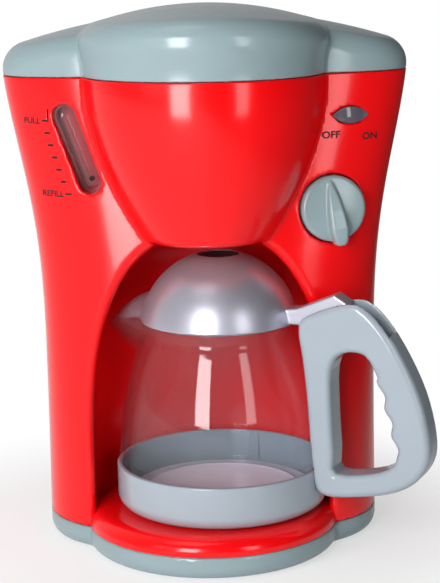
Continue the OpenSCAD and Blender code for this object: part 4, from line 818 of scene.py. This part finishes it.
# ------------------------------------------------------------ CAD nodes that stay
NODE_LOOKS = (
    (STEEL, ("cover_hinge_pins", "tank_screws", "shaft_screw", "battery_contacts", "door_screw", "shell_screws",
             "base_screws", "lid_hinge_pin")),
    (WHITE, ("water_tank", "knob_shaft", "valve_body")),
    (BLACK, ("drip_nozzle", "leaf_switch", "battery_box", "lid_drip_ring")),
    (RUBBER, ("gauge_hose", "inlet_hose", "outlet_hose")),
    (CLEAR, ("gauge_window", "led_lamp")),
    (DARK_RED, ("gauge_backing",)),
    (SMOKED, ("indicator_lens",)),
    (BOARD, ("led_board",)),
    (CELL, ("cells",)),
    (RED, ("battery_door",)))
for look, names in NODE_LOOKS:
    for name in names:
        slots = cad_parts[name].data.materials
        slots.clear()
        slots.append(look)

# ------------------------------------------------------------ floor, camera, light
scene = bpy.context.scene
floor_mesh = bpy.data.meshes.new("floor")
floor_mesh.from_pydata([(-6, -6, 0), (6, -6, 0), (6, 6, 0), (-6, 6, 0)], [], [(0, 1, 2, 3)])
floor = bpy.data.objects.new("floor", floor_mesh)
scene.collection.objects.link(floor)
fm = bpy.data.materials.new("floor")
fm.use_nodes = True
nt = fm.node_tree
fb = nt.nodes["Principled BSDF"]
fb.inputs["Base Color"].default_value = (0.93, 0.93, 0.93, 1)
fb.inputs["Roughness"].default_value = 0.9
fb.inputs["Specular IOR Level"].default_value = 0.1


def link(a, b):
    nt.links.new(a, b)


def math_node(op, a, b):
    n = nt.nodes.new("ShaderNodeMath")
    n.operation = op
    n.use_clamp = True
    for i, v in enumerate((a, b)):
        if isinstance(v, float):
            n.inputs[i].default_value = v
        else:
            link(v, n.inputs[i])
    return n.outputs[0]


# the floor fades to plain white away from the object
where = nt.nodes.new("ShaderNodeNewGeometry")
length = nt.nodes.new("ShaderNodeVectorMath")
length.operation = "LENGTH"
link(where.outputs["Position"], length.inputs[0])
fade = nt.nodes.new("ShaderNodeMapRange")
fade.interpolation_type = "SMOOTHSTEP"
for key, value in (("From Min", 0.07), ("From Max", 0.2), ("To Min", 0.55), ("To Max", 1.0)):
    fade.inputs[key].default_value = value
link(length.outputs["Value"], fade.inputs["Value"])
seen = nt.nodes.new("ShaderNodeLightPath")
direct = math_node("ADD", math_node("ADD", seen.outputs["Is Camera Ray"], seen.outputs["Is Glossy Ray"]),
                   seen.outputs["Is Transmission Ray"])
white = nt.nodes.new("ShaderNodeEmission")
mixed = nt.nodes.new("ShaderNodeMixShader")
link(math_node("MULTIPLY", fade.outputs["Result"], direct), mixed.inputs["Fac"])
# surfaces mirror a dimmer floor, and hardly any of it on the right
across = nt.nodes.new("ShaderNodeSeparateXYZ")
link(where.outputs["Position"], across.inputs[0])
dim = nt.nodes.new("ShaderNodeMapRange")
for key, value in (("From Min", -0.05), ("From Max", 0.4), ("To Min", 0.25), ("To Max", 0.96)):
    dim.inputs[key].default_value = value
link(across.outputs["X"], dim.inputs["Value"])
link(math_node("SUBTRACT", 1.0, math_node("MULTIPLY", seen.outputs["Is Glossy Ray"], dim.outputs["Result"])),
     white.inputs["Strength"])
link(fb.outputs["BSDF"], mixed.inputs[1])
link(white.outputs["Emission"], mixed.inputs[2])
link(mixed.outputs["Shader"], nt.nodes["Material Output"].inputs["Surface"])
floor.data.materials.append(fm)

world = bpy.data.worlds.new("world")
scene.world = world
world.use_nodes = True
nt = world.node_tree
bg = nt.nodes["Background"]
bg.inputs["Color"].default_value = (1, 1, 1, 1)
seen = nt.nodes.new("ShaderNodeLightPath")
way = nt.nodes.new("ShaderNodeTexCoord")
axes = nt.nodes.new("ShaderNodeSeparateXYZ")
link(way.outputs["Generated"], axes.inputs[0])


def ranged(value, lo, hi, to_lo, to_hi):
    n = nt.nodes.new("ShaderNodeMapRange")
    n.interpolation_type = "SMOOTHSTEP"
    for key, v in (("From Min", lo), ("From Max", hi), ("To Min", to_lo), ("To Max", to_hi)):
        n.inputs[key].default_value = v
    link(value, n.inputs["Value"])
    return n.outputs["Result"]


# bright behind and to the left, dim in front and to the right
behind = math_node("MULTIPLY", ranged(axes.outputs["Y"], -0.3, 0.8, 0.07, 0.5),
                   ranged(axes.outputs["X"], -0.2, 0.5, 1.0, 0.15))
level = math_node("ADD", behind, ranged(axes.outputs["X"], -1.0, 0.4, 0.17, 0.0))
pick = nt.nodes.new("ShaderNodeMix")
pick.data_type = "FLOAT"
link(seen.outputs["Is Camera Ray"], pick.inputs["Factor"])
link(level, pick.inputs[2])
pick.inputs[3].default_value = 1.0
link(pick.outputs[0], bg.inputs["Strength"])


def lamp(name, at, target, size, power, size_y=None):
    data = bpy.data.lights.new(name, "AREA")
    data.shape = "RECTANGLE"
    data.size, data.size_y = size, size_y or size
    data.energy = power
    ob = bpy.data.objects.new(name, data)
    scene.collection.objects.link(ob)
    ob.location = at
    ob.rotation_euler = (Vector(target) - Vector(at)).to_track_quat("-Z", "Y").to_euler()
    return ob


lamp("key", (-0.95, -0.85, 0.6), (0, 0, 0.12), 0.45, 7.5, 0.7).visible_glossy = False
lamp("fill", (-0.3, -1.3, 0.3), (0, 0, 0.1), 0.5, 1.5, 0.5).visible_glossy = False
lamp("window_left", (-0.37, -0.93, 0.36), (0, 0, 0.13), 0.3, 7, 0.56)
lamp("window_right", (0.56, -0.83, 0.36), (0, 0, 0.13), 0.2, 1.6, 0.56)
lamp("top", (-0.3, -0.3, 1.3), (0, 0, 0.2), 0.6, 1.2)

cam_data = bpy.data.cameras.new("camera")
cam_data.lens = 105.9
cam_data.sensor_width = 36
cam = bpy.data.objects.new("camera", cam_data)
scene.collection.objects.link(cam)
cam.matrix_world = (Matrix.Translation((0.00495, -0.75, 0.260)) @ Matrix.Rotation(math.radians(78.7), 4, "X")
                    @ Matrix.Rotation(math.radians(-1.09), 4, "Z"))
scene.camera = cam
scene.view_settings.view_transform = "Standard"
